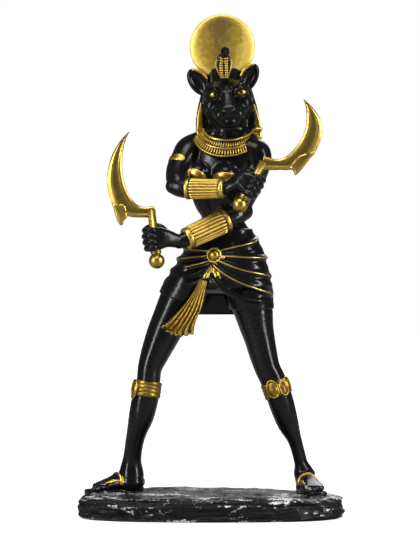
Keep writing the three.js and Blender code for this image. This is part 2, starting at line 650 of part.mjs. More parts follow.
function kilt() {
  const seat = stack(HIPS.slice(0, -1).concat([[129, 3, 6.4, 25, 12]]), 30, HIP_TURN);
  const rightSleeve = sleeve([[-8, 7, 143, 9.4, 13], [-12.6, 7, 134, 13.4, 16], [-17.4, 6.8, 126.4, 13.2, 14.4],
    [-18, 6.8, 125.2, 12.6, 13.8]]);
  const leftSleeve = sleeve([[18, 3.6, 143, 12, 13], [21.2, 3.2, 130, 14.2, 15], [23.4, 2.8, 121.6, 12.6, 13.8],
    [23.6, 2.8, 120, 12.1, 13.2]]);
  // Cloth that hangs behind, between the thighs
  const panel = skin([[136, 3, 11, 16, 7], [124, 3.6, 14, 15, 3.6], [116.2, 4, 15, 13, 1.8]].map(([z, x, y, a, b]) =>
    oval(vec(x, y, z), AXIS_X, AXIS_Y, a, b, 14, 3)));
  const folds = FOLDS.map(([angle, heights, haste, radius]) => fold(angle, heights, haste, radius));
  const [, x, y, a, b] = HIPS[0];
  const waistband = skin([[166.4, -0.6], [166, 0.8], [162.4, 1.4], [162, 0]].map(([z, lift]) =>
    oval(vec(x, y, z), hipWide, hipDeep, a - 1.4 + lift, b - 1 + lift, 24)));
  return join(seat, rightSleeve, leftSleeve, panel, folds, waistband);
}

// Round clasp in front, with three short tails and the long fringed sash on the right thigh

const KNOT = hipPoint(0, 151.2, 0.6);

function clasp() {
  const profile = [[0, -2], [4.4, -2], [4.6, 0.4], [4, 1.3], [3.3, 0.9], [2.4, 1.9], [0, 2.5]];
  const disc = turned(profile, KNOT.toArray(), hipDeep.clone().negate().toArray(), 16);
  const tails = [[-4.8, 137.6], [0.4, 135.2], [3.8, 137]].map(([x, z]) => limb([
    [KNOT.x + 0.2, KNOT.y + 0.6, 148.4, 1.2], [KNOT.x + x * 0.5, KNOT.y - 0.6, 143, 1.4],
    [KNOT.x + x, KNOT.y - 1, z + 1.6, 2], [KNOT.x + x, KNOT.y - 1, z, 1.2]], 6));
  return join(disc, tails);
}

function sash() {
  const strands = 7;
  const top = vec(-4, -12.4, 137.6);
  return Array.from({ length: strands }, (unused, i) => {
    const share = i / (strands - 1);
    const end = vec(-28.4 + 16 * share, -7 - 1.6 * Math.sin(Math.PI * share), 111.4 - 5.4 * Math.sqrt(share));
    const knee = top.clone().lerp(end, 0.45).add(vec(0.8, -2.2, 0.8));
    return limb([
      [top.x, top.y + 1, top.z + 2, 1.5, 1.8], [...knee.toArray(), 1.7, 2.2],
      [...end.clone().lerp(knee, 0.25).toArray(), 1.9, 2.4], [...end.toArray(), 1.7, 2]], 6);
  });
}

// Sickle swords

// Each sword lies in an upright plane. Its blade and bent arm fill the band between two edges that run from
// the tip to the top of the grip, and a hook hangs below the heel of the blade.
function khopesh({ plane, pommel, grip, inner, outer, hook }) {
  const edge = (points) => new THREE.CatmullRomCurve3(points.map(([x, z]) => vec(x, plane, z)));
  const [innerEdge, outerEdge] = [edge(inner), edge(outer)];
  const steps = 2 * (inner.length - 1);
  // Across the band: [share from the inner to the outer edge, half of the thickness there]
  const faces = [[0, 0.45], [0.2, 1], [0.74, 1], [1, 0.3]];
  const around = faces.concat(faces.slice().reverse().map(([share, half]) => [share, -half]));
  const rings = Array.from({ length: steps + 1 }, (unused, i) => {
    const [near, far] = [innerEdge.getPoint(i / steps), outerEdge.getPoint(i / steps)];
    return around.map(([share, half]) =>
      near.clone().lerp(far, share).addScaledVector(AXIS_Y, (half * BLADE_THICKNESS) / 2));
  });
  const sickle = skin(rings);
  const claw = skin([-1, -0.6, 0.6, 1].map((level) => {
    const shrink = Math.abs(level) === 1 ? 0.82 : 1;
    const middle = hook.reduce((sum, [x, z]) => [sum[0] + x / hook.length, sum[1] + z / hook.length], [0, 0]);
    return hook.map(([x, z]) => vec(middle[0] + (x - middle[0]) * shrink, plane + (level * BLADE_THICKNESS) / 2,
      middle[1] + (z - middle[1]) * shrink));
  }));
  const [base, top] = [vec(pommel[0], plane, pommel[1]), vec(grip[0], plane, grip[1])];
  const axis = top.clone().sub(base);
  const length = axis.length();
  const handle = turned([
    [0, -POMMEL_RADIUS], [2.6, -3.7], [4.2, -1.7], [POMMEL_RADIUS, 0], [4, 2.1], [2.9, 3.6], [3.3, 4.6], [3.3, 6],
    [GRIP_RADIUS, 6.8], [GRIP_RADIUS, length], [0, length]], base.toArray(), axis.toArray(), 12);
  return join(sickle, claw, handle);
}

// The room that a grip needs in its fist
function gripRoom({ plane, pommel, grip }) {
  const [base, top] = [vec(pommel[0], plane, pommel[1]), vec(grip[0], plane, grip[1])];
  const axis = top.clone().sub(base);
  const [room, wide] = [GRIP_RADIUS + GRIP_GAP, POMMEL_RADIUS + GRIP_GAP];
  return turned([[0, -wide], [wide, -wide], [wide, 2.4], [3.3 + GRIP_GAP, 3.8], [3.3 + GRIP_GAP, 6.4], [room, 7.1],
    [room, axis.length()], [0, axis.length()]], base.toArray(), axis.toArray(), 12);
}

const LEFT_SWORD = {
  plane: -25,
  pommel: [-31.2, 148.2],
  grip: [-34.2, 177.4],
  inner: [[-46.7, 221.6], [-48.6, 217.4], [-50.4, 210.5], [-50.9, 203.5], [-50.4, 196.6], [-48.7, 189.6], [-45.6, 183.5],
    [-41.3, 179.6], [-36.8, 178.9], [-32.6, 179.5]],
  outer: [[-47.2, 221.5], [-51.7, 216.6], [-56, 209.6], [-58.5, 202.4], [-59.4, 194], [-58.3, 186.1], [-54.6, 176.4],
    [-46.2, 173.2], [-38.6, 172.8], [-32, 172.9]],
  hook: [[-56.6, 181.1], [-54.4, 173.1], [-52.6, 169.2], [-50.9, 168.3], [-49.7, 171.2], [-47.9, 173.8], [-49.6, 180.5]],
};

const RIGHT_SWORD = {
  plane: -25.4,
  pommel: [16.1, 180.2],
  grip: [29.4, 204.6],
  inner: [[52.2, 240], [53.5, 235.6], [53.9, 231], [53.5, 224.4], [50.9, 217.4], [46.6, 211.3], [41.3, 207],
    [36.1, 206.1], [29.6, 207.8]],
  outer: [[52.8, 239.8], [57, 235.7], [61.3, 229.6], [62.9, 223.2], [61.7, 216.1], [56.9, 207.2], [46.4, 200.4],
    [38.4, 199.8], [28, 199.6]],
  hook: [[59.5, 211.2], [52.6, 201.8], [47.9, 196.9], [46.4, 199.2], [44.3, 201.6], [49.6, 208]],
};

// Whole figure

const bladeUp = ({ pommel, grip }) => [grip[0] - pommel[0], 0, grip[1] - pommel[1]];
const alongGrip = ({ plane, pommel, grip }, share) => {
  const [x, z] = mix(pommel, grip, share);
  return [x, plane, z];
};

const rightFist = fist(alongGrip(RIGHT_SWORD, 0.47), bladeUp(RIGHT_SWORD), RIGHT_WRIST);
const leftFist = fist(alongGrip(LEFT_SWORD, 0.43), bladeUp(LEFT_SWORD), LEFT_WRIST);

const legs = join(
  limb(RIGHT_LEG, 14),
  limb(LEFT_LEG, 14),
  foot([-42, 17.6, BASE_TOP + 0.6], [-69.8, 0.6, BASE_TOP + 0.4], [-46.2, 12, 24], -1),
  foot([53, 18.6, BASE_TOP + 0.6], [58.6, -14.6, BASE_TOP + 0.4], [53.8, 13, 24], 1),
  kneeBand([-37.1, 1.8, 73.6], [0.14, 0.1, 1], 7.1, [[-68, 0.2, 3.6, 5.4]]),
  kneeBand([37.4, 0.4, 74], [-0.36, 0.1, 1], 7.3, [[-16, 0, 3.2, 5], [30, 0.6, 2.6, 4], [62, 3.4, 3, 3.8]]),
);

const figure = join(rockBase(), legs, kilt(), clasp(), sash(), torso(), arms(), rightFist, leftFist, head(),
  headdress(), sunDisc(), cobra(), collar());

const statueSolid = thinned(figure.subtract(gripRoom(RIGHT_SWORD)).subtract(gripRoom(LEFT_SWORD)), STATUE_TRIANGLES);

const statue = new THREE.Mesh(geometryOf(statueSolid), BLACK);
statue.name = "statue";
const khopeshRight = new THREE.Mesh(geometryOf(khopesh(RIGHT_SWORD)), GOLD);
khopeshRight.name = "khopesh_right";
const khopeshLeft = new THREE.Mesh(geometryOf(khopesh(LEFT_SWORD)), GOLD.clone());
khopeshLeft.name = "khopesh_left";

const sekhmet = new THREE.Group();
sekhmet.add(statue, khopeshRight, khopeshLeft);

export default sekhmet;
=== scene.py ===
"""A cast figurine of a lioness-headed woman with two sickle swords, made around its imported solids.

Sizes are in millimetres in the row's own frame (+Z up, the figure faces -Y, her right side is at -X) until a mesh
is handed over in metres.
"""

from __future__ import annotations

import logging
import math
from dataclasses import dataclass, field
from enum import Enum
from typing import Callable, Protocol, Sequence

import bpy
import numpy as np
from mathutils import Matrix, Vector


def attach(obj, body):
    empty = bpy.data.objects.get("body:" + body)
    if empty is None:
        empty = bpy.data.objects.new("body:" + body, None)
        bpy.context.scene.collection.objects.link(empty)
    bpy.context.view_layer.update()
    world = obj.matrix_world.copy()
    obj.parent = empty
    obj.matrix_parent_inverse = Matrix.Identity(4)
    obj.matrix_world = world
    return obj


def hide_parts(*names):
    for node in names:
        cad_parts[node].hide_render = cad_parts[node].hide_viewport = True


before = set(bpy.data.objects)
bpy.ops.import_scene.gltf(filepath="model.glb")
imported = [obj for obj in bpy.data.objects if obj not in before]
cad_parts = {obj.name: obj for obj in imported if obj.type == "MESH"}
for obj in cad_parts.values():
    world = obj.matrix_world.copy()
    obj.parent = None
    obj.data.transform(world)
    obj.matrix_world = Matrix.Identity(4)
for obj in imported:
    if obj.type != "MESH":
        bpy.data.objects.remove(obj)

log = logging.getLogger("figurine")
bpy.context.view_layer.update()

MM = 0.001
FAR = 50.0
TINY = 1e-6
MARGIN = 3.0
BODY = "root"

Point = Sequence[float]
Rows = Sequence[Sequence[float]]
Array = np.ndarray


class Slot(Enum):
    """The record's material slots."""

    RESIN = "black_resin"
    GOLD = "gold_paint"


# Measures shared by several pieces


BASE_LENGTH = 155.0
BASE_DEPTH = 72.0
BASE_TOP = 13.6
DISC_RADIUS = 18.8
DISC_CENTRE = (6.2, 6.0, 271.2)
DISC_THICKNESS = 3.2
HEAD_CENTRE = (9.2, 1.0, 240.0)
HEAD_ROLL = -5.0
CHEST_TURN = -20.0
HIP_TURN = -17.0
GRIP_RADIUS = 2.3
BLADE_THICKNESS = 2.6
POMMEL_RADIUS = 4.5
RIGHT_WRIST = (10.2, -22.6, 189.8)
LEFT_WRIST = (-18.4, -21.6, 159.0)


def unit(vector: Point) -> Array:
    """The vector scaled to length one."""
    values = np.asarray(vector, float)
    return values / max(float(np.linalg.norm(values)), TINY)


def turn_matrix(degrees: Point) -> Array:
    """The matrix of turns about X, then Y, then Z.

    Args:
        degrees: The three angles.

    Returns:
        A 3 by 3 matrix that takes a local direction to a turned one.
    """
    ax, ay, az = (math.radians(value) for value in degrees)
    about_x = np.array([[1, 0, 0], [0, math.cos(ax), -math.sin(ax)], [0, math.sin(ax), math.cos(ax)]])
    about_y = np.array([[math.cos(ay), 0, math.sin(ay)], [0, 1, 0], [-math.sin(ay), 0, math.cos(ay)]])
    about_z = np.array([[math.cos(az), -math.sin(az), 0], [math.sin(az), math.cos(az), 0], [0, 0, 1]])
    return about_z @ about_y @ about_x


def spline(rows: Rows, steps: int) -> Array:
    """Rows of numbers joined by a smooth curve that passes through each of them.

    Args:
        rows: The rows that the curve passes through.
        steps: How many pieces each span is cut into.

    Returns:
        The finer rows, the first and last as given.
    """
    table = np.asarray(rows, float)
    if len(table) < 3 or steps < 2:
        return table
    padded = np.vstack([2 * table[0] - table[1], table, 2 * table[-1] - table[-2]])
    shares = np.arange(steps)[:, None] / steps
    spans = []
    for before, start, end, after in zip(padded[:-3], padded[1:-2], padded[2:-1], padded[3:]):
        slope_in, slope_out = (end - before) / 2, (after - start) / 2
        curve = 2 * start - 2 * end + slope_in + slope_out
        bend = 3 * end - 3 * start - 2 * slope_in - slope_out
        spans.append(start + shares * (slope_in + shares * (bend + shares * curve)))
    return np.vstack(spans + [table[-1:]])


def row_at(table: Rows, height: float) -> Array:
    """A row of a table whose first column falls, at a height between its rows."""
    rows = np.asarray(table, float)[::-1]
    return np.array([np.interp(height, rows[:, 0], column) for column in rows.T])


# Modelling clay: forms that are joined and cut as distances on a grid


class Form(Protocol):
    """A shape that knows how far any place is from its surface."""

    def reach(self) -> tuple[Array, Array]:
        """Lowest and highest corner."""

    def distance(self, x: Array, y: Array, z: Array) -> Array:
        """Distance outside the surface, negative inside."""


def oval_distance(offsets: Sequence[Array], halves: Sequence[Array | float], power: float) -> Array:
    """Distance from a rounded form with its own half-size along each direction.

    Args:
        offsets: How far each place lies along each direction.
        halves: The half-sizes.
        power: 2 for an ellipse; more is squarer.

    Returns:
        About the distance, negative inside.
    """
    shares = [np.abs(offset) / half for offset, half in zip(offsets, halves)]
    size = sum(share**power for share in shares) ** (1 / power) + TINY
    steep = np.sqrt(sum((share ** (power - 1) / half) ** 2 for share, half in zip(shares, halves)))
    return ((size - 1) * size ** (power - 1) / (steep + TINY)).astype(np.float32)


@dataclass
class Ball:
    """An ellipsoid, turned about its centre."""

    centre: Point
    radii: Point
    turn: Point = (0.0, 0.0, 0.0)
    power: float = 2.0

    def reach(self) -> tuple[Array, Array]:
        """Lowest and highest corner."""
        size = np.abs(turn_matrix(self.turn)) @ np.asarray(self.radii, float)
        return np.asarray(self.centre) - size, np.asarray(self.centre) + size

    def distance(self, x: Array, y: Array, z: Array) -> Array:
        """Distance outside the surface, negative inside."""
        matrix = turn_matrix(self.turn)
        dx, dy, dz = x - self.centre[0], y - self.centre[1], z - self.centre[2]
        local = [dx * axis[0] + dy * axis[1] + dz * axis[2] for axis in matrix.T]
        return oval_distance(local, self.radii, self.power)


@dataclass
class Limb:
    """A form along a smooth line: rows of x, y, z, half-width and, where it differs, half-depth."""

    stations: Rows
    across: Point = (1.0, 0.0, 0.0)
    steps: int = 4
    power: float = 2.0
    flat: bool = False

    def rows(self) -> Array:
        """The smoothed stations, five numbers each."""
        full = [tuple(row) if len(row) > 4 else (*row, row[3]) for row in self.stations]
        table = spline(full, self.steps)
        table[:, 3:] = np.maximum(table[:, 3:], 0.05)
        return table

    def reach(self) -> tuple[Array, Array]:
        """Lowest and highest corner."""
        rows = self.rows()
        girth = rows[:, 3:].max(axis=1, keepdims=True)
        return (rows[:, :3] - girth).min(axis=0), (rows[:, :3] + girth).max(axis=0)

    def distance(self, x: Array, y: Array, z: Array) -> Array:
        """Distance outside the surface, negative inside."""
        rows = self.rows()
        out = np.full(np.broadcast_shapes(x.shape, y.shape, z.shape), FAR, np.float32)
        axes = (x.ravel(), y.ravel(), z.ravel())
        for start, end in zip(rows[:-1], rows[1:]):
            length = max(float(np.linalg.norm(end[:3] - start[:3])), TINY)
            along = (end[:3] - start[:3]) / length
            wide = unit(np.asarray(self.across) - along * (np.asarray(self.across) @ along))
            deep = np.cross(along, wide)
            girth = max(start[3:].max(), end[3:].max()) + MARGIN
            low, high = np.minimum(start[:3], end[:3]) - girth, np.maximum(start[:3], end[:3]) + girth
            block = tuple(slice(*np.searchsorted(axis, (lo, hi))) for axis, lo, hi in zip(axes, low, high))
            if any(part.start >= part.stop for part in block):
                continue
            px = x[block[0]] - start[0]
            py = y[:, block[1]] - start[1]
            pz = z[:, :, block[2]] - start[2]
            travel = px * along[0] + py * along[1] + pz * along[2]
            share = np.clip(travel / length, 0, 1)
            half_wide = start[3] + share * (end[3] - start[3])
            half_deep = start[4] + share * (end[4] - start[4])
            offsets = [
                px * wide[0] + py * wide[1] + pz * wide[2],
                px * deep[0] + py * deep[1] + pz * deep[2],
                travel - share * length,
            ]
            halves = [half_wide, half_deep, np.minimum(half_wide, half_deep)]
            out[block] = np.minimum(out[block], oval_distance(offsets, halves, self.power))
        if self.flat:
            for place, onward in ((rows[0], rows[0] - rows[1]), (rows[-1], rows[-1] - rows[-2])):
                out_of = unit(onward[:3])
                beyond = (x - place[0]) * out_of[0] + (y - place[1]) * out_of[1] + (z - place[2]) * out_of[2]
                out = np.maximum(out, beyond.astype(np.float32))
        return out


@dataclass
class Stack:
    """Level ovals from high to low: rows of z, centre x, centre y, half-width and half-depth."""

    levels: Rows
    turn: float = 0.0
    power: float = 2.0
    ripple: Callable[[Array, Array], Array] | None = None

    def reach(self) -> tuple[Array, Array]:
        """Lowest and highest corner."""
        table = np.asarray(self.levels, float)
        girth = table[:, 3:5].max(axis=1)
        low = np.array([(table[:, 1] - girth).min(), (table[:, 2] - girth).min(), table[:, 0].min()])
        high = np.array([(table[:, 1] + girth).max(), (table[:, 2] + girth).max(), table[:, 0].max()])
        return low, high

    def distance(self, x: Array, y: Array, z: Array) -> Array:
        """Distance outside the surface, negative inside."""
        table = spline(self.levels, 6)[::-1]
        heights = z.ravel()
        centre_x, centre_y, half_wide, half_deep = (
            np.interp(heights, table[:, 0], table[:, column]).astype(np.float32)[None, None, :]
            for column in (1, 2, 3, 4)
        )
        angle = math.radians(self.turn)
        dx, dy = x - centre_x, y - centre_y
        wide = dx * math.cos(angle) + dy * math.sin(angle)
        deep = dy * math.cos(angle) - dx * math.sin(angle)
        side = oval_distance([wide, deep], [half_wide, half_deep], self.power)
        if self.ripple is not None:
            side = side + self.ripple(np.arctan2(deep / half_deep, wide / half_wide), z)
        return np.maximum(np.maximum(side, z - table[-1, 0]), table[0, 0] - z).astype(np.float32)


@dataclass
class Surface:
    """Points in millimetres and faces of three or four corners."""

    points: Array
    faces: list[Array] = field(default_factory=list)


class Clay:
    """Signed distances on a regular grid, negative inside, that forms are joined to and cut from."""

    def __init__(self, low: Point, high: Point, cell: float) -> None:
        """Starts empty.

        Args:
            low: Lowest corner of the grid.
            high: Highest corner.
            cell: Distance between the grid's points.
        """
        self.low = np.asarray(low, float)
        self.cell = cell
        self.count = np.ceil((np.asarray(high, float) - self.low) / cell).astype(int) + 1
        self.value = np.full(self.count, FAR, np.float32)

    def _window(self, form: Form, margin: float) -> tuple[tuple[slice, ...], list[Array]]:
        low, high = form.reach()
        first = np.clip(np.floor((low - margin - self.low) / self.cell), 0, self.count - 1).astype(int)
        last = np.clip(np.ceil((high + margin - self.low) / self.cell) + 1, 1, self.count).astype(int)
        block = tuple(slice(a, b) for a, b in zip(first, last))
        axes = [self.low[i] + self.cell * np.arange(first[i], last[i]) for i in range(3)]
        shapes = [(-1, 1, 1), (1, -1, 1), (1, 1, -1)]
        return block, [axis.astype(np.float32).reshape(shape) for axis, shape in zip(axes, shapes)]

    def add(self, form: Form, blend: float = 1.0) -> Clay:
        """Joins a form on, with a soft fillet about as wide as blend."""
        block, (x, y, z) = self._window(form, MARGIN)
        old, new = self.value[block], form.distance(x, y, z)
        share = np.clip(0.5 + 0.5 * (new - old) / max(blend, TINY), 0, 1)
        self.value[block] = new + (old - new) * share - blend * share * (1 - share)
        return self

    def cut(self, form: Form, blend: float = 0.5) -> Clay:
        """Takes a form away, with a soft edge about as wide as blend."""
        block, (x, y, z) = self._window(form, MARGIN)
        old, new = self.value[block], -form.distance(x, y, z)
        share = np.clip(0.5 - 0.5 * (new - old) / max(blend, TINY), 0, 1)
        self.value[block] = new + (old - new) * share + blend * share * (1 - share)
        return self

    def patch(self, forms: Sequence[Form], lift: float) -> Clay:
        """A thin skin over this clay, wherever one of some forms covers it.

        Args:
            forms: What the skin covers.
            lift: How far the skin stands above this clay.

        Returns:
            The skin as clay of its own.
        """
        cover = Clay(self.low, self.low + self.cell * (self.count - 1), self.cell)
        for form in forms:
            cover.add(form, 0.3)
        cover.value = np.maximum(cover.value, self.value - lift)
        return cover

    def surface(self) -> Surface:
        """The clay's skin as an even net of four-sided faces, one point in each cell that the skin crosses."""
        value = self.value
        for axis in range(3):
            edge = [slice(None)] * 3
            for side in (0, -1):
                edge[axis] = side
                value[tuple(edge)] = np.maximum(value[tuple(edge)], 0.05)
        inside = value < 0
        corners = np.array([[i, j, k] for i in (0, 1) for j in (0, 1) for k in (0, 1)])
        spans = [slice(0, -1), slice(1, None)]
        tally = sum(inside[spans[i], spans[j], spans[k]].astype(np.int8) for i, j, k in corners)
        active = (tally > 0) & (tally < 8)
        cells = np.argwhere(active)
        values = [value[tuple((cells + corner).T)] for corner in corners]
        total = np.zeros((len(cells), 3))
        hits = np.zeros(len(cells))
        for a in range(8):
            for b in range(a + 1, 8):
                if np.abs(corners[a] - corners[b]).sum() != 1:
                    continue
                crossed = (values[a] < 0) != (values[b] < 0)
                share = values[a][crossed] / (values[a][crossed] - values[b][crossed])
                total[crossed] += corners[a] + share[:, None] * (corners[b] - corners[a])
                hits[crossed] += 1
        points = self.low + (cells + total / hits[:, None]) * self.cell
        number = np.full(active.shape, -1, np.int64)
        number[active] = np.arange(len(cells))
        quads = []
        for axis in range(3):
            near, far = [slice(None)] * 3, [slice(None)] * 3
            near[axis], far[axis] = slice(0, -1), slice(1, None)
            change = inside[tuple(near)] != inside[tuple(far)]
            place = np.argwhere(change)
            first, second = np.eye(3, dtype=int)[(axis + 1) % 3], np.eye(3, dtype=int)[(axis + 2) % 3]
            ring = [place, place - first, place - first - second, place - second]
            quad = np.stack([number[tuple(corner.T)] for corner in ring], axis=1)
            leaving = inside[tuple(near)][tuple(place.T)]
            quad[~leaving] = quad[~leaving][:, ::-1]
            quads.append(quad)
        return Surface(points, [np.vstack(quads)])


# Surfaces through rings, and rounds


def loft(rings: Array, loop: bool = False) -> Surface:
    """A skin through rings of equally many points, with its ends closed or run round into itself.

    Args:
        rings: Points by ring and by place in the ring.
        loop: Whether the last ring joins the first.

    Returns:
        The closed surface.
    """
    count, sides = rings.shape[:2]
    points = rings.reshape(-1, 3)
    ring = np.arange(count if loop else count - 1)[:, None]
    side = np.arange(sides)[None, :]
    after, beside = (ring + 1) % count, (side + 1) % sides
    corners = [ring * sides + side, ring * sides + beside, after * sides + beside, after * sides + side]
    faces = [np.stack([corner.ravel() for corner in corners], axis=1)]
    if not loop:
        middles = np.array([rings[0].mean(axis=0), rings[-1].mean(axis=0)])
        first, last = np.arange(sides), (count - 1) * sides + np.arange(sides)
        start = np.stack([np.roll(first, -1), first, np.full(sides, len(points))], axis=1)
        end = np.stack([last, np.roll(last, -1), np.full(sides, len(points) + 1)], axis=1)
        points = np.vstack([points, middles])
        faces.append(np.vstack([start, end]))
    return outward(Surface(points, faces))


def outward(surface: Surface) -> Surface:
    """The surface, turned inside out if its faces point in."""
    volume = 0.0
    for faces in surface.faces:
        corners = surface.points[faces]
        for k in range(1, faces.shape[1] - 1):
            volume += float((corners[:, 0] * np.cross(corners[:, k], corners[:, k + 1])).sum())
    if volume < 0:
        surface.faces = [faces[:, ::-1].copy() for faces in surface.faces]
    return surface


def turned(profile: Rows, centre: Point, axis: Point, segments: int) -> Surface:
    """A round piece: a profile of radius and height turned about an axis.

    Args:
        profile: Rows of radius and height along the axis.
        centre: Where height 0 lies.
        axis: Direction of the axis.
        segments: Sides of the round.

    Returns:
        The closed surface.
    """
    along = unit(axis)
    side = unit(np.cross(along, (0.31, 0.2, 0.93) if abs(along[2]) < 0.9 else (1.0, 0.1, 0.0)))
    other = np.cross(along, side)
    angles = 2 * np.pi * np.arange(segments) / segments
    circle = np.cos(angles)[:, None] * side + np.sin(angles)[:, None] * other
    middle = np.asarray(centre)
    rings = np.array([middle + height * along + max(radius, 0.01) * circle for radius, height in profile])
    return loft(rings)


# Rock noise


class Noise:
    """Smooth values from -1 to 1 in space, the same for the same seed."""

    SIZE = 32

    def __init__(self, seed: int) -> None:
        """Draws the lattice of values."""
        self.lattice = np.random.default_rng(seed).uniform(-1, 1, (self.SIZE,) * 3)

    def at(self, points: Array, pitch: Point) -> Array:
        """Values at points, with lumps as large as pitch along X, Y and Z."""
        place = points / np.asarray(pitch, float)
        base = np.floor(place).astype(int)
        share = place - base
        share = share * share * (3 - 2 * share)
        total = np.zeros(len(points))
        for corner in np.ndindex(2, 2, 2):
            weight = np.prod(np.where(np.array(corner) == 1, share, 1 - share), axis=1)
            index = tuple(((base + corner) % self.SIZE).T)
            total += weight * self.lattice[index]
        return total

    def layered(self, points: Array, pitch: Point, octaves: int) -> Array:
        """Values with finer and weaker lumps on top of one another."""
        total = np.zeros(len(points))
        for octave in range(octaves):
            shift = np.array([5.2, 1.3, 8.7]) * octave
            total += self.at(points + shift, np.asarray(pitch, float) / 2**octave) / 2**octave
        return total


# Meshes and the depth of their hollows


def surface_of(mesh: bpy.types.Mesh) -> Surface:
    """Reads a mesh back as points and faces, in millimetres."""
    points = np.empty(3 * len(mesh.vertices), np.float32)
    mesh.vertices.foreach_get("co", points)
    corners = np.empty(len(mesh.loops), np.int32)
    mesh.loops.foreach_get("vertex_index", corners)
    starts = np.empty(len(mesh.polygons), np.int32)
    mesh.polygons.foreach_get("loop_start", starts)
    totals = np.empty(len(mesh.polygons), np.int32)
    mesh.polygons.foreach_get("loop_total", totals)
    faces = []
    for total in np.unique(totals):
        chosen = starts[totals == total]
        faces.append(corners[chosen[:, None] + np.arange(total)].astype(np.int64))
    return Surface(points.reshape(-1, 3).astype(float) / MM, faces)


def edges_of(surface: Surface) -> Array:
    """Pairs of point numbers, one for each side of each face."""
    pairs = [np.stack([faces, np.roll(faces, -1, axis=1)], axis=-1).reshape(-1, 2) for faces in surface.faces]
    return np.vstack(pairs)


def spread(values: Array, edges: Array, times: int) -> Array:
    """Values at points, averaged with their neighbours some times over."""
    count = len(values)
    ends = np.concatenate([edges[:, 0], edges[:, 1]])
    others = np.concatenate([edges[:, 1], edges[:, 0]])
    degree = np.maximum(np.bincount(ends, minlength=count), 1)
    table = values.reshape(count, -1).astype(float)
    for _ in range(times):
        sums = [np.bincount(ends, weights=column[others], minlength=count) for column in table.T]
        table = 0.5 * table + 0.5 * np.stack(sums, axis=1) / degree[:, None]
    return table.reshape(values.shape)


def hollows(surface: Surface, normals: Array, edges: Array, times: int) -> Array:
    """How deep each point lies in a hollow, in millimetres; negative on ridges."""
    smooth = spread(surface.points, edges, times)
    return spread(((smooth - surface.points) * normals).sum(axis=1), edges, 1)


def normals_of(mesh: bpy.types.Mesh) -> Array:
    """The mesh's point normals."""
    values = np.empty(3 * len(mesh.vertices), np.float32)
    mesh.vertex_normals.foreach_get("vector", values)
    return values.reshape(-1, 3)


def smoothed(surface: Surface, times: int) -> Surface:
    """The surface with its points eased towards their neighbours, without shrinking."""
    edges = edges_of(surface)
    points = surface.points
    for _ in range(times):
        points = points + 0.5 * (spread(points, edges, 1) - points)
        points = points - 0.53 * (spread(points, edges, 1) - points)
    return Surface(points, surface.faces)


def attribute(mesh: bpy.types.Mesh, name: str, values: Array, kind: str = "FLOAT") -> None:
    """Writes a value for each point of a mesh."""
    layer = mesh.attributes.new(name, kind, "POINT")
    layer.data.foreach_set("vector" if kind == "FLOAT_VECTOR" else "value", values.astype(np.float32).ravel())


def mesh_from(name: str, surface: Surface) -> bpy.types.Mesh:
    """A smooth-shaded mesh in metres."""
    mesh = bpy.data.meshes.new(name)
    mesh.vertices.add(len(surface.points))
    mesh.vertices.foreach_set("co", (surface.points * MM).astype(np.float32).ravel())
    corners = np.concatenate([faces.ravel() for faces in surface.faces])
    totals = np.concatenate([np.full(len(faces), faces.shape[1]) for faces in surface.faces])
    starts = np.concatenate([[0], np.cumsum(totals)[:-1]])
    mesh.loops.add(len(corners))
    mesh.loops.foreach_set("vertex_index", corners.astype(np.int32))
    mesh.polygons.add(len(totals))
    mesh.polygons.foreach_set("loop_start", starts.astype(np.int32))
    mesh.update(calc_edges=True)
    mesh.validate()
    mesh.polygons.foreach_set("use_smooth", np.ones(len(mesh.polygons), bool))
    return mesh


# Finishes


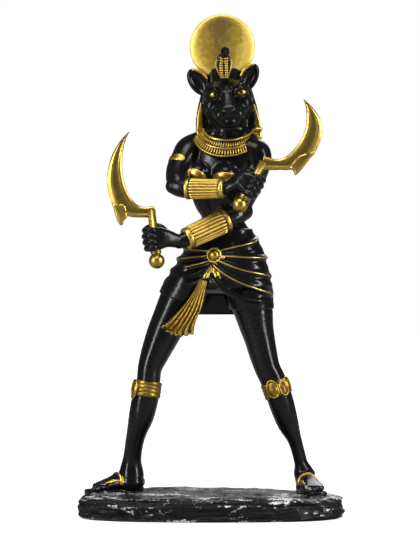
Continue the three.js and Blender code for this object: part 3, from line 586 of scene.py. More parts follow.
class Wiring:
    """A material's node tree and short ways to add to it."""

    def __init__(self, name: str) -> None:
        """Makes an empty material that ends in one shader."""
        self.material = bpy.data.materials.new(name)
        self.material.use_nodes = True
        self.nodes = self.material.node_tree.nodes
        self.links = self.material.node_tree.links
        self.shader = self.nodes["Principled BSDF"]

    def node(self, kind: str, inputs: dict[str | int, object] | None = None, **settings: object) -> bpy.types.Node:
        """Adds a node.

        Args:
            kind: The node's type.
            inputs: Values for its sockets, or sockets to link them to.
            settings: Values for its own settings.

        Returns:
            The node.
        """
        node = self.nodes.new(kind)
        for name, value in settings.items():
            setattr(node, name, value)
        for name, value in (inputs or {}).items():
            self.set(node.inputs[name], value)
        return node

    def set(self, socket: bpy.types.NodeSocket, value: object) -> None:
        """Links a socket, or gives it a value."""
        if isinstance(value, bpy.types.NodeSocket):
            self.links.new(value, socket)
        else:
            socket.default_value = value

    def noise(self, scale: float, detail: float) -> bpy.types.NodeSocket:
        """Noise from 0 to 1 in the object's own coordinates, with scale lumps to the metre."""
        place = self.node("ShaderNodeTexCoord")
        inputs = {"Vector": place.outputs["Object"], "Scale": scale, "Detail": detail}
        return self.node("ShaderNodeTexNoise", inputs).outputs["Fac"]

    def value(self, name: str) -> bpy.types.NodeSocket:
        """A value that the mesh carries at its points."""
        return self.node("ShaderNodeAttribute", attribute_name=name).outputs["Fac"]

    def span(self, value: bpy.types.NodeSocket, source: Point, target: Point) -> bpy.types.NodeSocket:
        """A value moved from one range to another and held within it."""
        inputs = {
            "Value": value,
            "From Min": source[0],
            "From Max": source[1],
            "To Min": target[0],
            "To Max": target[1],
        }
        return self.node("ShaderNodeMapRange", inputs).outputs["Result"]

    def sum(self, first: bpy.types.NodeSocket, second: bpy.types.NodeSocket) -> bpy.types.NodeSocket:
        """Two values added up."""
        return self.node("ShaderNodeMath", {0: first, 1: second}, operation="ADD").outputs[0]

    def blend(self, share: bpy.types.NodeSocket, first: object, second: object) -> bpy.types.NodeSocket:
        """One colour where share is 0 and another where it is 1."""
        node = self.node("ShaderNodeMix", {0: share, 6: first, 7: second}, data_type="RGBA")
        return node.outputs[2]

    def bump(self, height: bpy.types.NodeSocket, depth: float, strength: float) -> None:
        """A fine relief, depth metres high."""
        inputs = {"Height": height, "Distance": depth, "Strength": strength}
        self.set(self.shader.inputs["Normal"], self.node("ShaderNodeBump", inputs).outputs["Normal"])


def rgba(colour: Point) -> tuple[float, ...]:
    """A colour with full cover."""
    return (*colour, 1.0)


@dataclass(frozen=True)
class Resin:
    """Glossy cast resin, dyed through."""

    name: str
    colour: Point
    roughness: tuple[float, float]
    shine: float = 0.17
    slot: Slot = Slot.RESIN

    def material(self) -> bpy.types.Material:
        """Makes the material."""
        wiring = Wiring(self.name)
        wiring.set(wiring.shader.inputs["Base Color"], rgba(self.colour))
        wiring.set(wiring.shader.inputs["Specular IOR Level"], self.shine)
        handling = wiring.span(wiring.noise(60.0, 3.0), (0.3, 0.7), self.roughness)
        wiring.set(wiring.shader.inputs["Roughness"], handling)
        wiring.bump(wiring.noise(260.0, 4.0), 0.0004, 0.12)
        return wiring.material


@dataclass(frozen=True)
class RockWithPaintedLight:
    """The same resin with light grey on it, in random patches and as painted light: more where it faces up, on
    ridges and higher up.
    """

    name: str
    dark: Point
    light: Point
    shine: float = 0.12
    slot: Slot = Slot.RESIN

    def material(self) -> bpy.types.Material:
        """Makes the material."""
        wiring = Wiring(self.name)
        specks = wiring.span(wiring.noise(900.0, 5.0), (0.25, 0.75), (-0.34, 0.34))
        # The grey carries painted light from above and on ridges, with random patches and specks.
        mottled = wiring.sum(wiring.value("grey_patches_and_painted_light"), specks)
        cover = wiring.span(mottled, (0.36, 0.86), (0.0, 1.0))
        wiring.set(wiring.shader.inputs["Base Color"], wiring.blend(cover, rgba(self.dark), rgba(self.light)))
        wiring.set(wiring.shader.inputs["Roughness"], wiring.span(cover, (0.0, 1.0), (0.45, 0.8)))
        wiring.set(wiring.shader.inputs["Specular IOR Level"], self.shine)
        wiring.bump(wiring.noise(700.0, 5.0), 0.0005, 0.5)
        return wiring.material


@dataclass(frozen=True)
class GoldPaint:
    """Metallic paint over the resin, with a dark wash left in its hollows."""

    name: str
    light: Point
    middle: Point
    wash: Point
    roughness: tuple[float, float]
    hollow: tuple[float, float]
    metal: float = 1.0
    slot: Slot = Slot.GOLD

    def material(self) -> bpy.types.Material:
        """Makes the material."""
        wiring = Wiring(self.name)
        stains = wiring.span(wiring.noise(450.0, 4.0), (0.3, 0.7), (-0.035, 0.035))
        depth = wiring.sum(wiring.value("hollow"), stains)
        sunk = wiring.span(depth, self.hollow, (0.0, 1.0))
        ridge = wiring.span(depth, (0.02, -0.08), (0.0, 1.0))
        bright = wiring.blend(ridge, rgba(self.middle), rgba(self.light))
        wiring.set(wiring.shader.inputs["Base Color"], wiring.blend(sunk, bright, rgba(self.wash)))
        wiring.set(wiring.shader.inputs["Metallic"], wiring.span(sunk, (0.0, 1.0), (self.metal, 0.3)))
        mottled = wiring.span(wiring.noise(120.0, 4.0), (0.3, 0.7), self.roughness)
        wiring.set(wiring.shader.inputs["Roughness"], mottled)
        wiring.bump(wiring.noise(420.0, 4.0), 0.0003, 0.25)
        return wiring.material


class Palette(Enum):
    """The finishes of the figurine."""

    BLACK = Resin("Black resin", (0.0035, 0.0035, 0.0038), (0.17, 0.27))
    HAIR = Resin("Black resin of the hair", (0.0035, 0.0035, 0.004), (0.24, 0.34))
    PUPIL = Resin("Pupils", (0.003, 0.003, 0.003), (0.2, 0.25))
    ROCK = RockWithPaintedLight("Rock with grey patches and painted light", (0.005, 0.005, 0.0055), (0.62, 0.62, 0.62))
    GOLD = GoldPaint(
        "Gold paint",
        light=(0.56, 0.38, 0.08),
        middle=(0.25, 0.155, 0.016),
        wash=(0.01, 0.006, 0.0015),
        roughness=(0.32, 0.46),
        hollow=(0.0, 0.1),
    )
    BRASS = GoldPaint(
        "Dull gold paint",
        light=(0.4, 0.28, 0.06),
        middle=(0.2, 0.13, 0.014),
        wash=(0.03, 0.019, 0.004),
        roughness=(0.28, 0.42),
        hollow=(0.0, 0.2),
    )
    # Disc gold: its painted reflection is carried in the wash depth that the disc piece adds.
    DISC = GoldPaint(
        "Gold paint with wash and painted reflection",
        light=(0.66, 0.47, 0.09),
        middle=(0.36, 0.24, 0.03),
        wash=(0.1, 0.062, 0.008),
        roughness=(0.36, 0.5),
        hollow=(0.0, 0.16),
        metal=0.6,
    )


@dataclass
class Shop:
    """Makes each finish once and hands pieces over to the frame."""

    made: dict[Palette, bpy.types.Material] = field(default_factory=dict)
    triangles: dict[str, int] = field(default_factory=dict)

    def paint(self, choice: Palette) -> bpy.types.Material:
        """The material of a finish."""
        if choice not in self.made:
            self.made[choice] = choice.value.material()
        return self.made[choice]

    def piece(
        self,
        name: str,
        surface: Surface,
        choice: Palette,
        stands_for: str = "statue",
        reach: int = 6,
        extra_darkening: Callable[[Array], Array] | None = None,
    ) -> None:
        """Adds a finished piece to the figurine.

        Args:
            name: What the piece is.
            surface: Its closed skin in millimetres.
            choice: Its finish.
            stands_for: The solid that it takes the place of.
            reach: How far around each point its hollows are looked for, in steps along the mesh.
            extra_darkening: More of the wash where this is high, as a function of the points; on the sun disc it
                is painted reflection.
        """
        mesh = mesh_from(name, surface)
        wash_depth = hollows(surface, normals_of(mesh), edges_of(surface), reach)
        # Extra darkening deepens the wash: on the sun disc it is painted reflection.
        if extra_darkening is not None:
            wash_depth = wash_depth + extra_darkening(surface.points)
        attribute(mesh, "hollow", wash_depth)
        if choice is Palette.ROCK:
            # The rock's grey carries painted light: lighter where it faces up, on ridges and higher up.
            attribute(mesh, "grey_patches_and_painted_light", grey_patches_and_painted_light(surface, normals_of(mesh), wash_depth))
        mesh.materials.append(self.paint(choice))
        thing = bpy.data.objects.new(name, mesh)
        bpy.context.scene.collection.objects.link(thing)
        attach(thing, BODY)
        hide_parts(stands_for)
        self.triangles[name] = sum(len(faces) * (faces.shape[1] - 2) for faces in surface.faces)
        log.info("%s: %d triangles", name, self.triangles[name])


def grey_patches_and_painted_light(surface: Surface, normals: Array, wash_depth: Array) -> Array:
    """How much light grey each point of the rock takes: random patches, and painted light that adds grey where the
    rock faces up, on ridges and higher up.
    """
    # Painted light: places that face up, ridges and higher places get more of the grey.
    level = np.clip((normals[:, 2] - 0.2) / 0.7, 0, 1)
    ridge = np.clip(-wash_depth / 0.12, -1, 1)
    patches = Noise(11).layered(surface.points, (14.0, 9.0, 5.0), 3)
    low = np.clip(surface.points[:, 2] / BASE_TOP, 0, 1)
    return -0.2 + 0.34 * level + 0.42 * ridge + 0.46 * patches + 0.1 * low


def patchy_darkening(amount: float, seed: int = 7) -> Callable[[Array], Array]:
    """Patchy extra darkening, added to the wash depth.

    Args:
        amount: Its depth on the average.
        seed: Where its patches lie.

    Returns:
        The depth as a function of the points.
    """

    def depth(points: Array) -> Array:
        return amount * (1 + 0.9 * Noise(seed).layered(points, (6.0, 6.0, 6.0), 3))

    return depth


# Geometry node trees


class Tree:
    """A geometry node tree with named inputs."""

    def __init__(self, name: str, sockets: dict[str, str]) -> None:
        """Makes the tree's own sockets.

        Args:
            name: The tree's name.
            sockets: Names and kinds of its inputs.
        """
        self.group = bpy.data.node_groups.new(name, "GeometryNodeTree")
        self.names: dict[str, str] = {}
        self.group.interface.new_socket("Geometry", in_out="INPUT", socket_type="NodeSocketGeometry")
        for label, kind in sockets.items():
            socket = self.group.interface.new_socket(label, in_out="INPUT", socket_type=f"NodeSocket{kind}")
            self.names[label] = socket.identifier
        self.group.interface.new_socket("Geometry", in_out="OUTPUT", socket_type="NodeSocketGeometry")
        self.given = self.group.nodes.new("NodeGroupInput")
        self.result = self.group.nodes.new("NodeGroupOutput")

    def node(self, kind: str, inputs: dict[str | int, object], **settings: object) -> bpy.types.Node:
        """Adds a node, with values for its sockets or sockets to link them to."""
        node = self.group.nodes.new(kind)
        for name, value in settings.items():
            setattr(node, name, value)
        for name, value in inputs.items():
            if isinstance(value, bpy.types.NodeSocket):
                self.group.links.new(value, node.inputs[name])
            else:
                node.inputs[name].default_value = value
        return node

    def close(self, geometry: bpy.types.NodeSocket) -> None:
        """Turns what was built into real, smooth, painted mesh and sends it out."""
        real = self.node("GeometryNodeRealizeInstances", {"Geometry": geometry})
        smooth = self.node("GeometryNodeSetShadeSmooth", {"Geometry": real.outputs[0]})
        paint = self.node(
            "GeometryNodeSetMaterial", {"Geometry": smooth.outputs[0], "Material": self.given.outputs["Material"]}
        )
        self.group.links.new(paint.outputs[0], self.result.inputs[0])

    def grow(self, name: str, lines: Sequence[Line], values: dict[str, object]) -> Surface:
        """Runs the tree on some lines.

        Args:
            name: Name of the result.
            lines: What it runs along.
            values: The tree's inputs by name.

        Returns:
            The closed surfaces that it made, in millimetres.
        """
        points = np.vstack([line.points for line in lines])
        edges, start = [], 0
        for line in lines:
            index = np.arange(start, start + len(line.points) - 1)
            edges.append(np.stack([index, index + 1], axis=1))
            start += len(line.points)
        mesh = bpy.data.meshes.new(name)
        mesh.from_pydata((points * MM).tolist(), np.vstack(edges).tolist(), [])
        attribute(mesh, "girth", np.concatenate([line.girth for line in lines]))
        attribute(mesh, "down", np.vstack([line.down for line in lines]), "FLOAT_VECTOR")
        thing = bpy.data.objects.new(name, mesh)
        bpy.context.scene.collection.objects.link(thing)
        modifier = thing.modifiers.new(name, "NODES")
        modifier.node_group = self.group
        for label, value in values.items():
            modifier[self.names[label]] = value
        bpy.context.view_layer.update()
        ready = thing.evaluated_get(bpy.context.evaluated_depsgraph_get())
        made = bpy.data.meshes.new_from_object(ready)
        thing.modifiers.remove(modifier)
        surface = surface_of(made)
        bpy.data.objects.remove(thing)
        bpy.data.meshes.remove(made)
        bpy.data.meshes.remove(mesh)
        return surface


@dataclass
class Line:
    """A line that pieces follow: points, a thickness at each point and which way is down the piece there."""

    points: Array
    girth: Array
    down: Array

    @classmethod
    def through(cls, rows: Rows, steps: int = 6, down: Point = (0.0, 0.0, -1.0)) -> Line:
        """A smooth line through rows of x, y, z and thickness."""
        table = spline([tuple(row) if len(row) > 3 else (*row, 1.0) for row in rows], steps)
        return cls(table[:, :3], np.maximum(table[:, 3], 0.02), np.tile(np.asarray(down, float), (len(table), 1)))


def piping_tree() -> Tree:
    """A round cord of its own thickness at each point of a line, with closed ends."""
    tree = Tree("Piping", {"Sides": "Int", "Step": "Float", "Material": "Material"})
    curve = tree.node("GeometryNodeMeshToCurve", {"Mesh": tree.given.outputs["Geometry"]})
    even = tree.node(
        "GeometryNodeResampleCurve",
        {"Curve": curve.outputs[0], "Length": tree.given.outputs["Step"]},
        mode="LENGTH",
    )
    girth = tree.node("GeometryNodeInputNamedAttribute", {"Name": "girth"}, data_type="FLOAT")
    sizes = {"Resolution": tree.given.outputs["Sides"], "Radius": MM}
    ring = tree.node("GeometryNodeCurvePrimitiveCircle", sizes)
    inputs = {"Curve": even.outputs[0], "Profile Curve": ring.outputs[0], "Scale": girth.outputs[0]}
    inputs["Fill Caps"] = True
    skin = tree.node("GeometryNodeCurveToMesh", inputs)
    tree.close(skin.outputs[0])
    return tree


def row_tree() -> Tree:
    """Equal beads along a line, each turned to the line and to its own downward direction."""
    sockets = {"Count": "Int", "Width": "Float", "Thickness": "Float", "Length": "Float", "Material": "Material"}
    tree = Tree("Row", sockets)
    curve = tree.node("GeometryNodeMeshToCurve", {"Mesh": tree.given.outputs["Geometry"]})
    spacing = {"Curve": curve.outputs[0], "Count": tree.given.outputs["Count"]}
    even = tree.node("GeometryNodeResampleCurve", spacing)
    bead = tree.node("GeometryNodeMeshUVSphere", {"Segments": 10, "Rings": 8, "Radius": 1.0})
    down = tree.node("GeometryNodeInputNamedAttribute", {"Name": "down"}, data_type="FLOAT_VECTOR")
    tangent = tree.node("GeometryNodeInputTangent", {})
    upright = tree.node("FunctionNodeAlignRotationToVector", {"Vector": down.outputs[0]}, axis="Z")
    facing = tree.node(
        "FunctionNodeAlignRotationToVector",
        {"Rotation": upright.outputs[0], "Vector": tangent.outputs[0]},
        axis="X",
        pivot_axis="Z",
    )
    names = {"X": "Width", "Y": "Thickness", "Z": "Length"}
    size = tree.node("ShaderNodeCombineXYZ", {axis: tree.given.outputs[name] for axis, name in names.items()})
    placed = tree.node(
        "GeometryNodeInstanceOnPoints",
        {
            "Points": even.outputs[0],
            "Instance": bead.outputs["Mesh"],
            "Rotation": facing.outputs[0],
            "Scale": size.outputs[0],
        },
    )
    tree.close(placed.outputs[0])
    return tree


def merged(surfaces: Sequence[Surface]) -> Surface:
    """Several closed surfaces as one piece."""
    points, faces, start = [], [], 0
    for surface in surfaces:
        points.append(surface.points)
        faces.extend(group + start for group in surface.faces)
        start += len(surface.points)
    return Surface(np.vstack(points), faces)


# Rock base


@dataclass
class RockBase:
    """An oblong slab of layered rock, flat underneath."""

    length: float = BASE_LENGTH
    depth: float = BASE_DEPTH
    top: float = BASE_TOP
    power: float = 2.7
    sides: int = 460
    wall: int = 46
    cover: int = 60
    seed: int = 4
    profile: Rows = ((0, 0.962), (0.8, 0.984), (4, 0.992), (8, 0.99), (11, 0.975), (12.6, 0.94), (13.4, 0.88))

    def rings(self) -> Array:
        """Even rings up the sides and in over the top."""
        angles = 2 * np.pi * np.arange(self.sides) / self.sides
        wide, deep = np.cos(angles), np.sin(angles)
        size = (np.abs(wide) ** self.power + np.abs(deep) ** self.power) ** (-1 / self.power)
        outline = np.stack([wide * size * self.length / 2, deep * size * self.depth / 2], axis=1)
        heights = np.linspace(0, self.profile[-1][0], self.wall)
        table = np.array(self.profile)
        sides = [(z, np.interp(z, table[:, 0], table[:, 1])) for z in heights]
        over = [(self.top, share) for share in np.linspace(self.profile[-1][1] - 0.015, 0.012, self.cover)]
        levels = [np.column_stack([outline * share, np.full(self.sides, z)]) for z, share in sides + over]
        return np.array(levels)

    @staticmethod
    def terraced(values: Array, steps: float, softness: float) -> Array:
        """Values gathered into flat steps with steep risers."""
        scaled = values * steps
        level = np.floor(scaled)
        share = np.clip((scaled - level - 0.5) / softness + 0.5, 0, 1)
        return (level + share * share * (3 - 2 * share)) / steps

    def build(self, shop: Shop) -> None:
        """Adds the base."""
        rings = self.rings()
        points = rings.reshape(-1, 3)
        noise = Noise(self.seed)
        level = np.repeat(np.arange(len(rings)), self.sides)
        on_wall = np.clip((self.wall + 3 - level) / 5, 0, 1)
        out = points * (1, self.length / self.depth, 0)
        out /= np.maximum(np.linalg.norm(out, axis=1, keepdims=True), TINY)
        strata = self.terraced(noise.layered(points, (30, 30, 2.7), 3), 3.5, 0.45)
        chips = np.abs(noise.layered(points + 50, (9, 9, 4.5), 3))
        slant = points @ np.array([0.32, 0.2, 1.0])
        near_end = np.clip((np.abs(points[:, 0]) - 48) / 18, 0, 1)
        flutes = near_end * np.sin(slant * 1.15 + 2 * noise.at(points, (16, 16, 16)))
        shift = 1.15 * strata - 1.5 * chips + 0.5 * flutes
        foot = np.clip(points[:, 2] / 1.6, 0.25, 1)
        points = points + out * (shift * on_wall * foot)[:, None]
        flakes = self.terraced(noise.layered(points * (1, 1, 0) + 20, (34, 13, 9), 3), 2.6, 0.35)
        grain = noise.layered(points + 90, (7, 4, 4), 3)
        crest = np.clip((points[:, 2] - 8) / 5, 0, 1)
        points[:, 2] += crest * (1.1 * flakes + 0.35 * grain)
        points[:, 2] = np.clip(points[:, 2], 0, self.top + 1.7)
        for axis, size in ((0, self.length), (1, self.depth)):
            low, high = points[:, axis].min(), points[:, axis].max()
            points[:, axis] = (points[:, axis] - (low + high) / 2) * (size - 0.1) / (high - low)
        shop.piece("rock_base", loft(points.reshape(rings.shape)), Palette.ROCK, reach=4)


# Legs and sandalled feet


@dataclass
class Foot:
    """A sandalled foot between its heel and its toes."""

    heel: Point
    toe: Point
    ankle: Point
    small_toe: int
    sole: float = 1.8

    def __post_init__(self) -> None:
        """Works out the foot's own directions."""
        self.back, self.front = np.asarray(self.heel, float), np.asarray(self.toe, float)
        self.along = unit(self.front - self.back)
        self.wide = unit(np.cross((0, 0, 1), self.along))

    def at(self, share: float, side: float, up: float) -> Array:
        """A place in the foot: how far to the toes, sideways towards the small toe, and up."""
        place = self.back + (self.front - self.back) * share
        return place + self.wide * side * self.small_toe + np.array([0, 0, up])

    def line(self, rows: Rows) -> list[tuple[float, ...]]:
        """Rows of share, side, up and sizes as rows of x, y, z and sizes."""
        return [(*self.at(*row[:3]), *row[3:]) for row in rows]

    def shape(self, clay: Clay) -> None:
        """Adds the foot to a leg."""
        rows = [
            (-0.01, 0, 4.2, 2.8, 3),
            (0.06, 0, 4.6, 4.3, 4.2),
            (0.2, 0, 5.6, 4.8, 5.4),
            (0.38, 0.2, 5.4, 5, 5.2),
            (0.56, 0.6, 4.4, 5.8, 3.8),
            (0.72, 0.9, 3.5, 6.7, 2.7),
            (0.82, 1, 3, 6.5, 2),
        ]
        clay.add(Limb(self.line(rows), self.wide, power=2.3), 1.2)
        heel = self.line([(0.2, 0, 8, 4.9, 5.4), (0.26, 0, 4, 4.4, 4.6)])
        clay.add(Limb([(*self.ankle, 5.2, 5.8), *heel], self.wide), 3)
        for side in (-1, 1):
            clay.add(Ball(self.at(0.2, 4.3 * side, 9.6), (1.7, 1.7, 2)), 1.6)
        for number in range(5):
            half = 1.95 if number == 0 else 1.42 - 0.08 * number
            side, reach = -4.6 + 2.75 * number, 0.995 - 0.0175 * number * number
            toe = [
                (reach - 0.24, side, 2.6, 0.85 * half),
                (reach - 0.13, side, 3, half),
                (reach - 0.06, side, 2.4, 0.88 * half),
                (reach, side, 2, half),
            ]
            clay.add(Limb(self.line(toe), self.wide), 0.35)
            nail = Ball(self.at(reach + 0.012, side, 2.1 + half), (0.62 * half, 0.62 * half, 0.4))
            clay.cut(nail, 0.1)

    def dress(self, shop: Shop, trees: Trees, label: str) -> None:
        """Adds the sandal: its sole and the straps."""
        outline = [(-0.05, 2.6), (0.02, 4.4), (0.2, 5), (0.45, 5.2), (0.7, 7.3), (0.88, 7.6)]
        outline += [(1, 6.2), (1.05, 3.4)]
        rings = []
        for share, half in spline(outline, 5):
            side = 0.3 + 0.7 * np.clip((share - 0.45) / 0.25, 0, 1)
            ring = []
            for angle in 2 * np.pi * np.arange(28) / 28:
                wide, tall = math.cos(angle), math.sin(angle)
                wide, tall = np.sign(wide) * abs(wide) ** 0.4, np.sign(tall) * abs(tall) ** 0.4
                outer = self.wide * half * wide + np.array([0, 0, self.sole * tall])
                ring.append(self.at(share, side, -0.2) + outer)
            rings.append(ring)
        shop.piece(f"sole_{label}", loft(np.array(rings)), Palette.BLACK)
        lines = []
        for hand in (-1, 1):
            rows = [(0.82, -2.2, 3.6), (0.7, -2.2 + 2 * hand, 5.4)]
            rows += [(0.58, 3.9 * hand, 6.2), (0.44, 5.2 * hand, 5.4)]
            rows += [(0.36, 5.6 * hand, 2.4)]
            lines.append(Line.through(self.line([(*row, 0.85) for row in rows])))
        arch = [(0.42, 5.3 * math.sin(a), 5.2 + 5 * math.cos(a), 0.8) for a in np.linspace(-1.9, 1.9, 9)]
        lines += [Line.through(self.line(arch)), Line.through(self.line([(s + 0.045, *row) for s, *row in arch]))]
        shop.piece(f"sandal_straps_{label}", trees.pipe(f"sandal_{label}", lines), Palette.GOLD, reach=2)


@dataclass
class KneeBand:
    """A band of ridges round a knee, with oval plates on it."""

    centre: Point
    along: Point
    radius: float
    plates: Rows

    def build(self, shop: Shop, trees: Trees, label: str) -> None:
        """Adds the band and its plates."""
        profile = [(self.radius - 1.4, -4.5), (self.radius + 0.5, -4.5)]
        for height in np.linspace(-4.4, 4.4, 60):
            ridge = 0.42 * abs(math.sin(math.pi * (height + 4.4) / 2.2)) ** 0.6
            profile.append((self.radius + 0.55 + ridge, height))
        profile += [(self.radius + 0.5, 4.5), (self.radius - 1.4, 4.5)]
        parts = [turned(profile, self.centre, self.along, 96)]
        direction = unit(self.along)
        rims = []
        for angle, lift, half, tall in self.plates:
            turn = math.radians(angle)
            out = np.array([math.sin(turn), -math.cos(turn), 0])
            side = np.cross(direction, out)
            place = np.asarray(self.centre) + out * (self.radius + 0.8) + direction * lift
            rings = []
            for share in np.linspace(0, 1, 14):
                size = math.sin(math.pi / 2 * share)
                rise = 1.5 * math.cos(math.pi / 2 * share)
                angles = 2 * np.pi * np.arange(40) / 40
                across = np.outer(np.cos(angles), side) * half * 0.86 * size
                upward = np.outer(np.sin(angles), direction) * tall * 0.86 * size
                rings.append(place + across + upward + out * rise)
            rings.append(rings[-1] - out * 1.6)
            parts.append(loft(np.array(rings)))
            oval_line = []
            for around in np.linspace(0, 2 * math.pi, 33):
                turned_to = side * half * math.cos(around) + direction * tall * math.sin(around)
                oval_line.append(place + turned_to + out * 0.3)
            rims.append(Line.through([(*point, 0.55) for point in oval_line], 2))
        parts.append(trees.pipe(f"knee_rims_{label}", rims))
        # The knee band's gold is darkened in patches.
        shop.piece(f"knee_band_{label}", merged(parts), Palette.GOLD, reach=3, extra_darkening=patchy_darkening(0.05))


@dataclass
class Leg:
    """A bare leg with its sandal and knee band."""

    label: str
    stations: Rows
    foot: Foot
    band: KneeBand
    low: Point
    high: Point
    cell: float = 0.53

    def build(self, shop: Shop, trees: Trees) -> None:
        """Adds the leg."""
        clay = Clay(self.low, self.high, self.cell)
        clay.add(Limb(self.stations, steps=3), 1.0)
        self.foot.shape(clay)
        shop.piece(f"leg_{self.label}", smoothed(clay.surface(), 2), Palette.BLACK)
        self.foot.dress(shop, trees, self.label)
        self.band.build(shop, trees, self.label)


RIGHT_LEG = Leg(
    label="right",
    stations=(
        (-9, 8, 141, 14, 14),
        (-14, 8, 131, 13, 13),
        (-18.9, 7, 124, 11.6, 12.4),
        (-23.4, 6, 115, 10.5, 11.6),
        (-28, 4.5, 105, 9.7, 10.6),
        (-32.7, 3, 94, 8.2, 9.2),
        (-35.6, 2, 86, 7, 8),
        (-36.3, 1.5, 79.7, 6.8, 7.4),
        (-37.1, 1.8, 73.5, 7.1, 7.3),
        (-38.3, 2.8, 68.2, 7.7, 7.8),
        (-40.6, 4.6, 57.8, 7.3, 8.4),
        (-43.1, 6.6, 49.3, 5.9, 7.2),
        (-44.8, 8.4, 41.9, 5.3, 6),
        (-46, 10.2, 33.5, 5.3, 5.6),
        (-46.7, 11.4, 26.5, 6.4, 6.6),
        (-46.8, 12, 19.5, 7.6, 8),
    ),
    foot=Foot((-42, 17.6, BASE_TOP + 0.6), (-69.8, 0.6, BASE_TOP + 0.4), (-46.2, 12, 24), -1),
    band=KneeBand((-37.1, 1.8, 73.6), (0.14, 0.1, 1), 7.1, ((-68, 0.2, 3.6, 5.4),)),
    low=(-78, -12, 11),
    high=(8, 26, 144),
)
LEFT_LEG = Leg(
    label="left",
    stations=(
        (18, 3, 141, 14, 14),
        (21, 3, 131, 13, 13),
        (23.8, 2.5, 120.4, 11.5, 12.4),
        (25.7, 2, 110.8, 9.9, 11.2),
        (27.7, 1.2, 102.8, 8.8, 10),
        (29.8, 0.4, 94, 8.1, 8.8),
        (32.1, -0.2, 86, 7.4, 7.9),
        (34.9, -0.4, 80.1, 7.4, 7.4),
        (37.2, 0.4, 74.3, 7.4, 7.2),
        (39.2, 1.8, 69, 7.4, 7.6),
        (41.4, 4, 62, 7.1, 8),
        (44.2, 6.4, 53.5, 6.2, 7),
        (47.7, 8.6, 45, 4.3, 5.7),
        (50, 10.4, 37.6, 3.8, 5),
        (52.1, 12, 29.2, 3.9, 5),
        (53.8, 13, 21.8, 4.5, 5.6),
    ),
    foot=Foot((53, 18.6, BASE_TOP + 0.6), (58.6, -14.6, BASE_TOP + 0.4), (53.8, 13, 24), 1),
    band=KneeBand(
        centre=(37.4, 0.4, 74),
        along=(-0.36, 0.1, 1),
        radius=7.3,
        plates=((-16, 0, 3.2, 5), (30, 0.6, 2.6, 4), (62, 3.4, 3, 3.8)),
    ),
    low=(0, -20, 11),
    high=(70, 26, 144),
)


# Torso and arms


